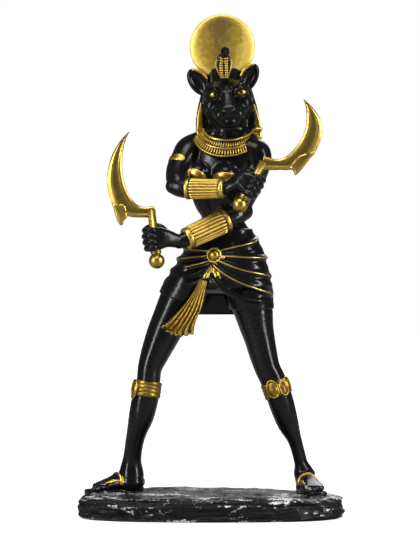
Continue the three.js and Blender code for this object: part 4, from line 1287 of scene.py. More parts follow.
@dataclass
class Torso:
    """The bare trunk, neck and arms, without the hands."""

    levels: Rows = (
        (220.5, 9.4, 6.5, 10, 9),
        (217, 7.4, 6, 17, 10),
        (213, 6.2, 5.6, 21.4, 11.4),
        (207.5, 5.6, 5.2, 22, 12.4),
        (201, 5, 5, 20, 13),
        (195, 4.6, 5, 17.8, 12.6),
        (189, 4.4, 5, 16.4, 11.4),
        (182.8, 4.4, 5, 15.8, 10.4),
        (177, 5.1, 5, 14, 9.4),
        (172.4, 6.3, 5, 12.2, 9.4),
        (167.6, 6.8, 5, 14.2, 10.6),
        (162.3, 7.4, 5, 18, 13),
        (154, 6.4, 5, 23, 15),
    )
    right_upper: Rows = (
        (-7.6, 9, 213.6, 7.6),
        (-11.6, 7.4, 211.8, 8.4),
        (-15.2, 3, 206.8, 8),
        (-18.6, -2.4, 201, 7.2),
        (-19.8, -7.4, 196.2, 6.5),
        (-19.4, -11.6, 192.6, 5.9),
        (-18.4, -14, 190, 4.8),
    )
    right_fore: Rows = (
        (-22, -13.2, 190.6, 4.4),
        (-17.2, -14.4, 189.8, 5.6),
        (-10, -16.6, 189, 5.4),
        (2, -20, 189.2, 4.2),
        (*RIGHT_WRIST, 3.6),
    )
    left_upper: Rows = (
        (22, 0.4, 211.6, 7.6),
        (26, -0.4, 209, 8.2),
        (26.6, -1, 203, 7.2),
        (25.2, -2, 196, 6.1),
        (22.4, -3, 189, 5.7),
        (19.2, -4.4, 183, 5.5),
        (16.6, -5.4, 177.6, 5.4),
    )
    left_fore: Rows = (
        (18.6, -4.6, 176.2, 5.2),
        (13, -8, 173.6, 6),
        (4, -12.6, 169.4, 5.4),
        (-10, -18.4, 162.4, 4.7),
        (*LEFT_WRIST, 4),
    )
    bust: Rows = ((-7.6, -2.6, 198.2), (8.2, -6.6, 197.6))
    cell: float = 0.54

    def trunk(self) -> Clay:
        """The trunk with its muscles."""
        clay = Clay((-32, -30, 152), (42, 22, 240), self.cell)
        clay.add(Stack(self.levels, CHEST_TURN), 1.0)
        neck = ((10.4, 7, 214, 11, 10), (10.2, 6.6, 222, 9.6, 9))
        neck += ((9.8, 5.4, 229, 9.2, 9.2), (9.4, 4, 236, 9.4, 9.6))
        clay.add(Limb(neck), 3.0)
        shoulders = ((-14, 8, 212.6, 6), (-7, 8, 216.4, 6), (1, 7.6, 220.4, 6.4), (10, 7, 222.4, 6.6))
        clay.add(Limb((*shoulders, (18, 5, 219, 6.4), (25, 1.6, 212.6, 5.6)), (0, 0, 1)), 1.6)
        for centre in self.bust:
            clay.add(Ball(centre, (6.8, 7, 6.2)), 2.4)
        belly = ((-1.2, -7.2, 192, 0.7), (0.2, -6.2, 184, 0.8), (1.9, -5.2, 175, 0.8), (3, -5.8, 170, 0.6))
        clay.cut(Limb(belly), 2.4)
        spine = ((13, 16.4, 212, 1.2), (11, 17.2, 200, 1.6), (9.6, 15.6, 186, 1.7), (9.9, 14.4, 174, 1.4))
        spine += ((11, 17, 164, 0.8),)
        clay.cut(Limb(spine), 4.0)
        for side in (-1, 1):
            blade = (9.6 + 9.4 * side * math.cos(math.radians(CHEST_TURN)), 13.6 - 4 * side, 204)
            clay.add(Ball(blade, (4.6, 2.4, 6.6), (0, 8 * side, CHEST_TURN)), 4.0)
        return clay

    def build(self, shop: Shop, trees: Trees) -> None:
        """Adds the trunk and arms, the armlet's lit patch, the halter and both bracers."""
        clay = self.trunk()
        for upper, fore, shoulder in (
            (self.right_upper, self.right_fore, (-13.4, 5.6, 209.4)),
            (self.left_upper, self.left_fore, (25.2, 0, 208.4)),
        ):
            clay.add(Limb(upper), 1.6)
            clay.add(Ball(shoulder, (8, 8, 8.4)), 2.0)
            clay.add(Limb(fore, (0, 0, 1)), 0.5)
        cups = [Ball((-8.6, -4.6, 197), (6.4, 7.6, 4.2), (0, 24, 0)), Ball((8, -8.6, 196), (7.4, 7.6, 3.6))]
        halter = clay.patch(cups, 0.3)
        # The armlet's gold covers only its lit outer side: partly the real armlet, partly a painted highlight,
        # with its shaded rest left as bare arm.
        plate = [(-26, 1, 206.2, 1.4), (-20.5, -5, 207.4, 2.3), (-16.4, -8.6, 208.2, 2.7)]
        lit_armlet_patch = clay.patch([Limb(plate, flat=True)], 0.35)
        shop.piece("body", smoothed(clay.surface(), 1), Palette.BLACK)
        shop.piece("halter", smoothed(halter.surface(), 1), Palette.GOLD)
        shop.piece("lit_armlet_patch", smoothed(lit_armlet_patch.surface(), 1), Palette.GOLD)
        Bracer("right", (-14.4, -15.4, 189.2), (7.2, -21.8, 189.2), 5.6, 4.8).build(shop, trees)
        # The left bracer's gold is darkened in patches.
        Bracer("left", (8.6, -10.6, 171.4), (-14.8, -20, 160.4), 6.5, 5.7, extra_darkening=0.03).build(shop, trees)


@dataclass
class Bracer:
    """A sleeve of lengthwise ribs between two rolled cuffs."""

    label: str
    start: Point
    end: Point
    start_radius: float
    end_radius: float
    ribs: int = 19
    extra_darkening: float = 0.0

    def ring(self, share: float, lift: float, count: int) -> Array:
        """Points round the sleeve, at a share of its length and a height over its skin."""
        along = unit(np.subtract(self.end, self.start))
        side = unit(np.cross(along, (0, 0, 1)))
        other = np.cross(side, along)
        radius = self.start_radius + (self.end_radius - self.start_radius) * share + lift
        angles = 2 * np.pi * np.arange(count) / count
        centre = np.asarray(self.start) + np.subtract(self.end, self.start) * share
        return centre + radius * (np.cos(angles)[:, None] * side + np.sin(angles)[:, None] * other)

    def build(self, shop: Shop, trees: Trees) -> None:
        """Adds the sleeve."""
        profile = ((0, -1.4), (0, 0.2), (0.015, 0.5), (0.035, 0.62), (0.09, 0.6), (0.11, 0.45), (0.12, -0.35))
        profile += tuple((1 - share, lift) for share, lift in profile[::-1])
        sleeve = loft(np.array([self.ring(share, lift, 88) for share, lift in profile]))
        places = ((0.115, -0.35), (0.13, -0.1), (0.87, -0.1), (0.885, -0.35))
        rows = [self.ring(share, lift, self.ribs) for share, lift in places]
        gauge = math.pi * (self.start_radius + self.end_radius) / 2 / self.ribs * 0.86
        lines = [Line.through([(*row[i], gauge) for row in rows], 1) for i in range(self.ribs)]
        ribs = trees.pipe(f"bracer_ribs_{self.label}", lines, sides=10, step=1.0)
        shop.piece(f"bracer_{self.label}", merged([sleeve, ribs]), Palette.GOLD, reach=2, extra_darkening=patchy_darkening(self.extra_darkening))


# Hands


@dataclass
class Fist:
    """A fist about a sword's grip, its back towards the viewer and its fingers curled behind the grip."""

    label: str
    pommel: Point
    grip: Point
    share: float
    wrist: Point
    cell: float = 0.34

    def __post_init__(self) -> None:
        """Works out the hand's own directions."""
        self.foot, self.top = np.asarray(self.pommel, float), np.asarray(self.grip, float)
        self.centre = self.foot + (self.top - self.foot) * self.share
        self.rise = unit(self.top - self.foot)
        reach = self.centre - np.asarray(self.wrist, float)
        self.out = unit(reach - self.rise * (reach @ self.rise))
        self.front = np.cross(self.out, self.rise)
        if self.front[1] > 0:
            self.front = -self.front

    def at(self, out: float, front: float, rise: float) -> Array:
        """A place in the hand: away from the wrist, towards the viewer and towards the blade."""
        return self.centre + self.out * out + self.front * front + self.rise * rise

    def line(self, rows: Rows) -> list[tuple[float, ...]]:
        """Rows in the hand's directions and sizes as rows of x, y, z and sizes."""
        return [(*self.at(*row[:3]), *row[3:]) for row in rows]

    def build(self, shop: Shop) -> None:
        """Adds the hand."""
        clay = Clay(self.centre - 19, self.centre + 19, self.cell)
        wrist = np.asarray(self.wrist, float)
        near = wrist + (self.at(-6, 2, 0) - wrist) * 0.5
        back = [(*wrist, 3.7, 3.7), (*near, 4.3, 3.6)]
        back += self.line([(-6, 2.2, -0.4, 5.2, 3.5), (-2, 3.2, 0, 6.4, 2.9)])
        back += self.line([(2, 3, 0, 6.4, 2.4), (3.8, 2.4, 0, 5.6, 1.8)])
        clay.add(Limb(back, self.rise, power=2.4), 0.5)
        heel = self.line([(-8, -1, 0, 4.2, 2.4), (-5, -2, 0, 5.4, 3), (-2.4, -2.6, 0, 5.2, 2.4)])
        clay.add(Limb(heel, self.rise), 1.4)
        for number, reach in enumerate((4.9, 5.4, 5.3, 4.8)):
            level = 5.2 - 3.45 * number
            rows = []
            curl = ((70, 1.5), (38, 1.95), (5, 1.85), (-30, 1.9), (-65, 1.7), (-100, 1.65), (-135, 1.2))
            for angle, radius in curl:
                turn = math.radians(angle)
                rows.append((reach * math.cos(turn), reach * math.sin(turn), level, radius))
            clay.add(Limb(self.line(rows), self.rise), 0.35)
            clay.add(Ball(self.at(3.4, 4.4, level), (1.75, 1.75, 1.75)), 0.9)
            clay.add(Limb(self.line([(2.6, 5, level, 0.7), (-5, 4.7, level * 0.45, 0.4)])), 1.2)
        thumb = [(-7.4, 0, 2.8, 2), (-4.4, -1, 6, 2.1), (-1, -3.4, 7.2, 1.9)]
        thumb += [(2.4, -4.6, 6.4, 1.7), (4, -4.6, 6, 1.1)]
        clay.add(Limb(self.line(thumb), self.front), 0.7)
        axis = self.rise
        room = [(*(self.foot + axis * 6.6), GRIP_RADIUS + 0.12), (*(self.top + axis * 3), GRIP_RADIUS + 0.12)]
        clay.cut(Limb(room, steps=1, flat=True), 0.1)
        shop.piece(f"hand_{self.label}", smoothed(clay.surface(), 1), Palette.BLACK)


# Sickle swords


@dataclass
class Khopesh:
    """A sickle sword in an upright plane: a blade between two edges, its bent arm, a hook, a grip and a pommel."""

    label: str
    plane: float
    pommel: Point
    grip: Point
    inner: Rows
    outer: Rows
    hook: Rows

    def place(self, point: Point) -> Array:
        """A point of the sword's outline in space."""
        return np.array([point[0], self.plane, point[1]])

    def sickle(self) -> Surface:
        """Blade and arm, thinner towards both edges and hollow-ground along the middle."""
        inner, outer = spline(self.inner, 12), spline(self.outer, 12)
        section = [(0, 0.32), (0.05, 0.6), (0.16, 0.98), (0.22, 1.0), (0.28, 0.74), (0.5, 0.64)]
        section += [(0.66, 0.74), (0.7, 0.98)]
        section += [(0.76, 0.94), (0.9, 0.5), (0.97, 0.2), (1, 0.1)]
        around = section + [(share, -half) for share, half in section[::-1]]
        rings = []
        for near, far in zip(inner, outer):
            ring = [
                self.place(near + (far - near) * share) + np.array([0, half * BLADE_THICKNESS / 2, 0])
                for share, half in around
            ]
            rings.append(ring)
        return loft(np.array(rings))

    def claw(self) -> Surface:
        """The hook below the heel of the blade."""
        outline = spline([*self.hook, self.hook[0]], 6)[:-1]
        middle = outline.mean(axis=0)
        rings = []
        half = [(0, 1), (0.3, 0.985), (0.75, 0.9), (1, 0.72)]
        for level, size in [(-level, size) for level, size in half[:0:-1]] + half:
            depth = np.array([0, level * BLADE_THICKNESS / 2 * 0.96, 0])
            rings.append([self.place(middle + (point - middle) * size) + depth for point in outline])
        return loft(np.array(rings))

    def handle(self) -> Surface:
        """Ball pommel, neck rings and grip."""
        foot, top = self.place(self.pommel), self.place(self.grip)
        length = float(np.linalg.norm(top - foot))
        turns = np.linspace(-1.52, 0.86, 26)
        profile = [(POMMEL_RADIUS * math.cos(t), POMMEL_RADIUS * math.sin(t)) for t in turns]
        profile += [(2.7, 3.7), (2.7, 4.2), (3.15, 4.35), (3.3, 4.75), (3.15, 5.1), (2.85, 5.2), (3.15, 5.35)]
        profile += [(3.3, 5.7), (3.1, 6.1), (2.5, 6.3), (GRIP_RADIUS, 6.8), (GRIP_RADIUS, length)]
        return turned(profile, foot, top - foot, 48)

    def build(self, shop: Shop) -> None:
        """Adds the sword."""
        surface = merged([self.sickle(), self.claw(), self.handle()])
        shop.piece(f"sword_{self.label}", surface, Palette.BRASS, stands_for=f"khopesh_{self.label}", reach=3)


LEFT_SWORD = Khopesh(
    label="left",
    plane=-25,
    pommel=(-31.2, 148.2),
    grip=(-34.2, 177.4),
    inner=(
        (-46.7, 221.6),
        (-48.6, 217.4),
        (-50.4, 210.5),
        (-50.9, 203.5),
        (-50.4, 196.6),
        (-48.7, 189.6),
        (-45.6, 183.5),
        (-41.3, 179.6),
        (-36.8, 178.9),
        (-32.6, 179.5),
    ),
    outer=(
        (-47.2, 221.5),
        (-51.7, 216.6),
        (-56, 209.6),
        (-58.5, 202.4),
        (-59.4, 194),
        (-58.3, 186.1),
        (-54.6, 176.4),
        (-46.2, 173.2),
        (-38.6, 172.8),
        (-32, 172.9),
    ),
    hook=(
        (-56.6, 181.1),
        (-54.4, 173.1),
        (-52.6, 169.2),
        (-50.9, 168.3),
        (-49.7, 171.2),
        (-47.9, 173.8),
        (-49.6, 180.5),
    ),
)
RIGHT_SWORD = Khopesh(
    label="right",
    plane=-25.4,
    pommel=(16.1, 180.2),
    grip=(29.4, 204.6),
    inner=(
        (52.2, 240),
        (53.5, 235.6),
        (53.9, 231),
        (53.5, 224.4),
        (50.9, 217.4),
        (46.6, 211.3),
        (41.3, 207),
        (36.1, 206.1),
        (29.6, 207.8),
    ),
    outer=(
        (52.8, 239.8),
        (57, 235.7),
        (61.3, 229.6),
        (62.9, 223.2),
        (61.7, 216.1),
        (56.9, 207.2),
        (46.4, 200.4),
        (38.4, 199.8),
        (28, 199.6),
    ),
    hook=((59.5, 211.2), (52.6, 201.8), (47.9, 196.9), (46.4, 199.2), (44.3, 201.6), (49.6, 208)),
)


def fist_on(sword: Khopesh, share: float, wrist: Point) -> Fist:
    """The hand that holds a sword, at a share of the way up its grip."""
    return Fist(sword.label, tuple(sword.place(sword.pommel)), tuple(sword.place(sword.grip)), share, wrist)


# Head


@dataclass
class Head:
    """A lioness's head: local axes run to the image's right, back and up from the middle of the skull."""

    centre: Point = HEAD_CENTRE
    roll: float = HEAD_ROLL
    eye_places: Rows = ((-7, 3.8), (8, 3.9))
    cell: float = 0.36

    def placed(self, surface: Surface) -> Surface:
        """A surface in the head's own axes, set in place."""
        return Surface(surface.points @ turn_matrix((0, self.roll, 0)).T + np.asarray(self.centre), surface.faces)

    def skull(self) -> Clay:
        """Cranium, the face in its raised ruff, muzzle and bridge of the nose."""
        clay = Clay((-25, -25, -22), (24, 20, 26), self.cell)
        clay.add(Ball((0, 4, 1.8), (14, 13.2, 12.2)), 1.0)
        clay.add(Ball((0, -0.6, -1.4), (14.2, 9.4, 14.4)), 2.0)
        ruff = []
        for angle in np.radians(np.linspace(-118, 118, 25)):
            ruff.append((14.2 * math.sin(angle), -3.6, -1.4 - 13.9 * math.cos(angle), 0.75))
        clay.add(Limb(ruff, (0, 1, 0), steps=2), 0.8)
        clay.add(Ball((0, -5, 5), (10.2, 6.4, 6.2)), 2.4)
        for side in (-1, 1):
            clay.add(Ball((9 * side, -6.2, -2.6), (4.2, 3.6, 4.2)), 3.0)
        muzzle = [(0, -4, -6.2, 8.8, 8), (0, -10.4, -7.4, 8.8, 6.6), (0.1, -14.6, -8, 8, 5.6)]
        clay.add(Limb(muzzle, power=2.2), 2.0)
        bridge = [(0, -7, 8.6, 3, 2.6), (0, -11.4, 3.4, 3.1, 2.8)]
        bridge += [(0.1, -14.6, -0.8, 3.9, 2.8), (0.2, -17.2, -3.8, 4.4, 2.6)]
        clay.add(Limb(bridge, power=2.4), 1.6)
        return clay

    def features(self, clay: Clay) -> None:
        """Nose, lips, chin, eye sockets and brows, worked into the clay."""
        clay.add(Limb([(-2, -18.8, -5, 2, 1.9), (2.3, -18.8, -5, 2, 1.9)], (0, 1, 0)), 0.9)
        clay.add(Limb([(0.2, -19.4, -6, 1.8), (0.2, -19, -8.2, 0.8)]), 0.9)
        for side in (-1, 1):
            clay.add(Ball((0.1 + 4.4 * side, -15.4, -8.6), (4.5, 4.6, 3.7)), 1.2)
            clay.cut(Limb([(0.2 + 1.7 * side, -21.4, -6.8, 0.7), (0.2 + 3.4 * side, -20, -5.6, 0.6)]), 0.6)
            crease = [(0.2 + 4.6 * side, -18.6, -4.8, 0.5), (5.2 * side, -15.4, -2.4, 0.7)]
            crease += [(5.4 * side, -12, 0.6, 0.8)]
            clay.cut(Limb(crease), 1.6)
        clay.cut(Limb([(0.2, -20.8, -8.2, 0.4), (0.1, -19.8, -10.8, 0.5)]), 0.8)
        clay.add(Ball((0.1, -12.4, -13), (5.6, 4.8, 3)), 1.6)
        mouth = [(-10, -8.4, -10.2, 0.4), (-7.6, -13, -12, 0.55), (-4.2, -17, -12.2, 0.6), (0.1, -18.8, -11, 0.6)]
        mouth += [(4.4, -17, -12.2, 0.6), (7.8, -13, -12, 0.55), (10.2, -8.4, -10.2, 0.4)]
        clay.cut(Limb(mouth), 0.9)
        for side, eye in zip((-1, 1), self.eye_places):
            clay.cut(Ball((eye[0], -12.4, eye[1]), (3.6, 3.6, 3.1), (0, -10 * side, 0)), 2.0)
            x = abs(eye[0])
            brow = [(1.7, -12.4, 4.4, 0.8), (3.8, -12.4, 7.4, 1.1), (x, -11.2, 8.6, 1.2), (11.6, -7.6, 7.2, 0.8)]
            clay.add(Limb([(side * row[0], *row[1:]) for row in brow]), 1.4)
            under = [(x - 3.6, -11.6, eye[1] - 1, 0.5), (x, -11.8, eye[1] - 2.9, 0.7)]
            under += [(x + 3.6, -9.4, eye[1] - 0.8, 0.5)]
            clay.add(Limb([(side * row[0], *row[1:]) for row in under]), 0.9)
            over = [(x - 3.6, -11.8, eye[1] - 0.2, 0.5), (x, -12, eye[1] + 2.7, 0.7)]
            over += [(x + 3.6, -9.4, eye[1] + 0.8, 0.5)]
            clay.add(Limb([(side * row[0], *row[1:]) for row in over]), 0.8)

    def ears(self, clay: Clay) -> list[list[tuple[float, ...]]]:
        """Both ears, worked into the clay.

        Returns:
            The line of each inner rim.
        """
        rims = []
        for side, centre, half in ((-1, (-15.6, 4, 12.2), 5.5), (1, (13.4, 4, 12.2), 5.2)):
            lean = (0, 31 * side, 0)
            clay.add(Ball(centre, (half, 3.2, 9), lean), 1.2)
            hollow = turn_matrix(lean) @ np.array([0.5 * side, -2.8, 0.2]) + np.array(centre)
            clay.cut(Ball(hollow, (half - 1.5, 2.9, 7.2), lean), 0.7)
            rim = []
            for share in np.linspace(0, 1, 9):
                angle = (-0.12 + 1.02 * share) * math.pi / 2
                local = np.array([(0.5 - half) * side * math.cos(angle), -1.9, 8.2 * math.sin(angle)])
                girth = 0.55 + 0.45 * math.sin(math.pi * share)
                rim.append((*(turn_matrix(lean) @ local + np.array(centre)), girth))
            rims.append(rim)
        return rims

    def eyes(self, shop: Shop) -> None:
        """Adds the eyeballs and pupils."""
        for (x, z), label in zip(self.eye_places, ("right", "left")):
            ball = Clay((x - 5, -15, z - 5), (x + 5, -4, z + 5), 0.2)
            ball.add(Ball((x, -8.6, z), (3.3, 2.9, 2.6), (0, 0, 8 * math.copysign(1, x))), 0.1)
            shop.piece(f"eye_{label}", self.placed(ball.surface()), Palette.GOLD)
            ring = [(1.0 * math.cos(t), 0.5 * math.sin(t)) for t in np.linspace(-1.5, 1.5, 9)]
            pupil = turned(ring, (x + 0.1, -11.45, z), (0, -1, 0), 20)
            shop.piece(f"pupil_{label}", self.placed(pupil), Palette.PUPIL)

    def build(self, shop: Shop, trees: Trees) -> None:
        """Adds the head."""
        clay = self.skull()
        self.features(clay)
        rims = self.ears(clay)
        shop.piece("head", self.placed(smoothed(clay.surface(), 1)), Palette.BLACK)
        self.eyes(shop)
        bands = trees.pipe("ear_bands", [Line.through(rim) for rim in rims])
        shop.piece("ear_bands", self.placed(bands), Palette.GOLD, reach=2)


# Headdress, sun disc and cobra


@dataclass
class Headdress:
    """A straight wig of locks that hangs to the shoulder blades, with a gilt lappet at each side."""

    levels: Rows = (
        (259.6, 7.4, 9.6, 9.6, 4.6),
        (258, 7.6, 9.8, 12.6, 6.6),
        (250, 8.4, 10.8, 14, 7.4),
        (243, 9, 12, 15.4, 7.6),
        (236, 9.2, 12.6, 17.2, 7.8),
        (228, 9.4, 12.8, 18.4, 7.6),
        (221, 9.6, 13.2, 18.6, 7),
        (213, 9.2, 14, 17.8, 5.4),
        (204, 8.4, 15.4, 15.6, 4.2),
        (198, 8, 15.8, 13.8, 3),
    )
    lappets: Rows = (
        ((-6.2, 6.4, 239, 0.4, 0.5), (-6.6, 5, 232, 1.6, 1), (-6.8, 4, 225, 2, 1), (-6.7, 3.6, 220.6, 2.1, 1)),
        (
            (24.4, 6.4, 238, 0.5, 0.5),
            (25.7, 5.4, 232, 1.2, 0.9),
            (27, 4.6, 225, 1.5, 0.9),
            (27.2, 4, 218, 1.6, 0.9),
        ),
    )
    cuff_height: float = 223.6
    locks: int = 34

    def lock(self, angle: Array, height: Array) -> Array:
        """How far the gaps between the locks sink in."""
        depth = np.clip((256 - height) / 12, 0.15, 1)
        waves = 0.08 * np.cos(height * 2.2 + 3 * np.cos(self.locks / 2 * angle))
        return depth * (0.26 * np.cos(self.locks * angle) + waves)

    def build(self, shop: Shop) -> None:
        """Adds the wig and the lappets."""
        clay = Clay((-14, 0, 195), (32, 24, 262), 0.55)
        clay.add(Stack(self.levels, power=2.5, ripple=self.lock), 0.2)
        shop.piece("headdress", clay.surface(), Palette.HAIR)
        strips = Clay((-12, 0, 214), (32, 10, 242), 0.3)
        for lappet in self.lappets:
            strips.add(Limb(lappet, flat=True, power=3), 0.2)
        for x in (-6.7, 27.1):
            cuff = [(x - 1.4, 3.8, self.cuff_height, 1.1), (x + 1.4, 3.8, self.cuff_height, 1.1)]
            strips.add(Limb(cuff, (0, 1, 0)), 0.3)
        shop.piece("lappets", strips.surface(), Palette.GOLD)


@dataclass
class SunDisc:
    """The disc behind the head."""

    centre: Point = DISC_CENTRE
    radius: float = DISC_RADIUS
    half: float = DISC_THICKNESS / 2

    def build(self, shop: Shop) -> None:
        """Adds the disc."""
        radius, half = self.radius, self.half
        face = [(0, -half - 0.8), (radius * 0.5, -half - 0.6)]
        face += [(radius - 2.2, -half - 0.1), (radius - 1.2, -half + 0.1)]
        face += [(radius - 0.35, -half + 0.5), (radius - 0.02, -half + 1)]
        profile = [(0, -half - 0.8)]
        profile += [(radius * t, -half - 0.8 + 0.7 * t * t) for t in np.linspace(0.03, 0.85, 24)]
        profile += face[2:] + [(out, -height) for out, height in face[::-1]]
        # The disc's wash is deepened by painted reflection: dark middle and top, light sides.
        shop.piece("sun_disc", turned(profile, self.centre, (0, 1, 0), 160), Palette.DISC, extra_darkening=self.painted_reflection)

    def painted_reflection(self, points: Array) -> Array:
        """Painted reflection: darker in the middle and at the top, lighter at the left and right, where the side
        lamps show in the disc.
        """
        across = (points[:, 0] - self.centre[0] + 1.5) / self.radius
        up = (points[:, 2] - self.centre[2]) / self.radius
        return 0.15 - 0.3 * np.abs(across) ** 1.3 + 0.07 * up


@dataclass
class Cobra:
    """A rearing cobra over the brow: a spread hood with a banded belly."""

    hood: Rows = (
        (7.6, -8, 250.4, 2.2, 1.6),
        (7.4, -10, 253, 2.4, 1.8),
        (7, -11.6, 256.6, 3.8, 1.7),
        (6.9, -12.4, 260.4, 4.9, 1.7),
        (7, -12.6, 263.4, 4.2, 1.8),
        (7.3, -12.8, 265.8, 2.5, 2),
        (7.6, -13.6, 267.6, 2.2, 2.1),
        (7.8, -15.8, 268.4, 2, 1.6),
        (7.9, -18, 267.6, 1, 0.8),
    )
    coil: Rows = ((7.6, -8, 250.6, 2, 1.6), (7.2, -3, 253.6, 2, 1.6), (6.6, 4, 254.6, 1.8, 1.6))

    def build(self, shop: Shop, trees: Trees) -> None:
        """Adds the cobra, its gilt belly and its gilt rim."""
        clay = Clay((0, -21, 247), (14, 7, 271), 0.26)
        clay.add(Limb(self.coil), 0.8)
        clay.add(Limb(self.hood), 0.8)
        clay.add(Ball((7.7, -14.8, 267), (2.5, 3.4, 2.9), (18, 0, 0)), 1.0)
        for side in (-1, 1):
            clay.add(Ball((7.7 + 1.7 * side, -16.4, 268.2), (0.6, 0.7, 0.6)), 0.5)
        shop.piece("cobra", clay.surface(), Palette.BLACK)
        columns = []
        for side in (-1, 1):
            rows = [(7.2 + 1.3 * side, -11.8, 253), (7 + 1.5 * side, -13.1, 256.8), (6.9 + 1.5 * side, -14, 260.4)]
            columns.append(Line.through([*rows, (7 + 1.3 * side, -14.2, 263.6)], down=(1, 0, 0.12 * side)))
        belly = trees.row("cobra_belly", columns, 9, (0.62, 0.7, 1.15))
        rims = []
        for side in (-1, 1):
            rows = [(7.4 + 2 * side, -10.9, 252.6, 0.3), (7 + 3.6 * side, -12.6, 256.6, 0.42)]
            rows += [(6.9 + 4.6 * side, -13, 260.4, 0.34), (7 + 4 * side, -13.2, 263.4, 0.2)]
            rims.append(Line.through(rows))
        gilt = merged([belly, trees.pipe("cobra_rims", rims)])
        shop.piece("cobra_gilding", gilt, Palette.GOLD, reach=2)


# Broad collar


@dataclass
class Collar:
    """Two rows of pendants between plain rims, lying round the neck on the shoulders."""

    pendants: int = 58
    sides: int = 180
    rise: float = 0.5

    @staticmethod
    def edge(angle: float, share: float) -> Array:
        """A place on the collar: its angle round the neck from the front, and a share of its breadth outwards."""
        side, front = math.sin(angle), math.cos(angle)
        ahead = max(front, 0)
        inner = np.array([9.9 + 13.2 * side - 1.4 * ahead, 5 - 11.6 * front, 223 - 6.4 * ahead])
        outer = np.array([9.3 + 19 * side - 2 * ahead, 5 - 15.4 * front, 218.4 - 11.4 * ahead**1.3])
        return inner + (outer - inner) * share

    @staticmethod
    def normal(angle: float) -> Array:
        """Away from the skin at an angle round the neck."""
        return unit((0.75 * math.sin(angle), -0.75 * math.cos(angle), 0.66))

    def row(self, angles: Array, share: float, lift: float) -> Line:
        """A line round the collar that knows which way its pendants hang."""
        points = np.array([self.edge(a, share) + self.normal(a) * (lift + self.rise) for a in angles])
        down = np.array([unit(self.edge(a, 1) - self.edge(a, 0)) for a in angles])
        return Line(points, np.full(len(points), 0.62), down)

    def build(self, shop: Shop, trees: Trees) -> None:
        """Adds the band, its pendants and its rims."""
        profile = [(-0.02, -2), (-0.03, 0.3), (0.02, 0.45), (0.98, 0.3), (1.01, 0.2), (1.0, -2)]
        rings = []
        for angle in 2 * np.pi * np.arange(self.sides) / self.sides:
            normal = self.normal(angle)
            rings.append([self.edge(angle, share) + normal * (lift + self.rise) for share, lift in profile])
        shop.piece("collar_band", loft(np.array(rings), loop=True), Palette.BLACK)
        angles = np.linspace(-2.62, 2.62, 120)
        hanging = [
            trees.row("collar_inner_row", [self.row(angles, 0.31, 0.6)], self.pendants, (0.36, 0.42, 1.5)),
            trees.row("collar_outer_row", [self.row(angles, 0.75, 0.55)], self.pendants, (0.42, 0.45, 1.75)),
        ]
        rims = [self.row(angles, 0.02, 0.5), self.row(angles, 0.53, 0.5), self.row(angles, 0.97, 0.35)]
        rims[0].girth[:] = 0.8
        rims[2].girth[:] = 0.5
        shop.piece("collar", merged([*hanging, trees.pipe("collar_rims", rims)]), Palette.GOLD, reach=2)


# Kilt, clasp and sash


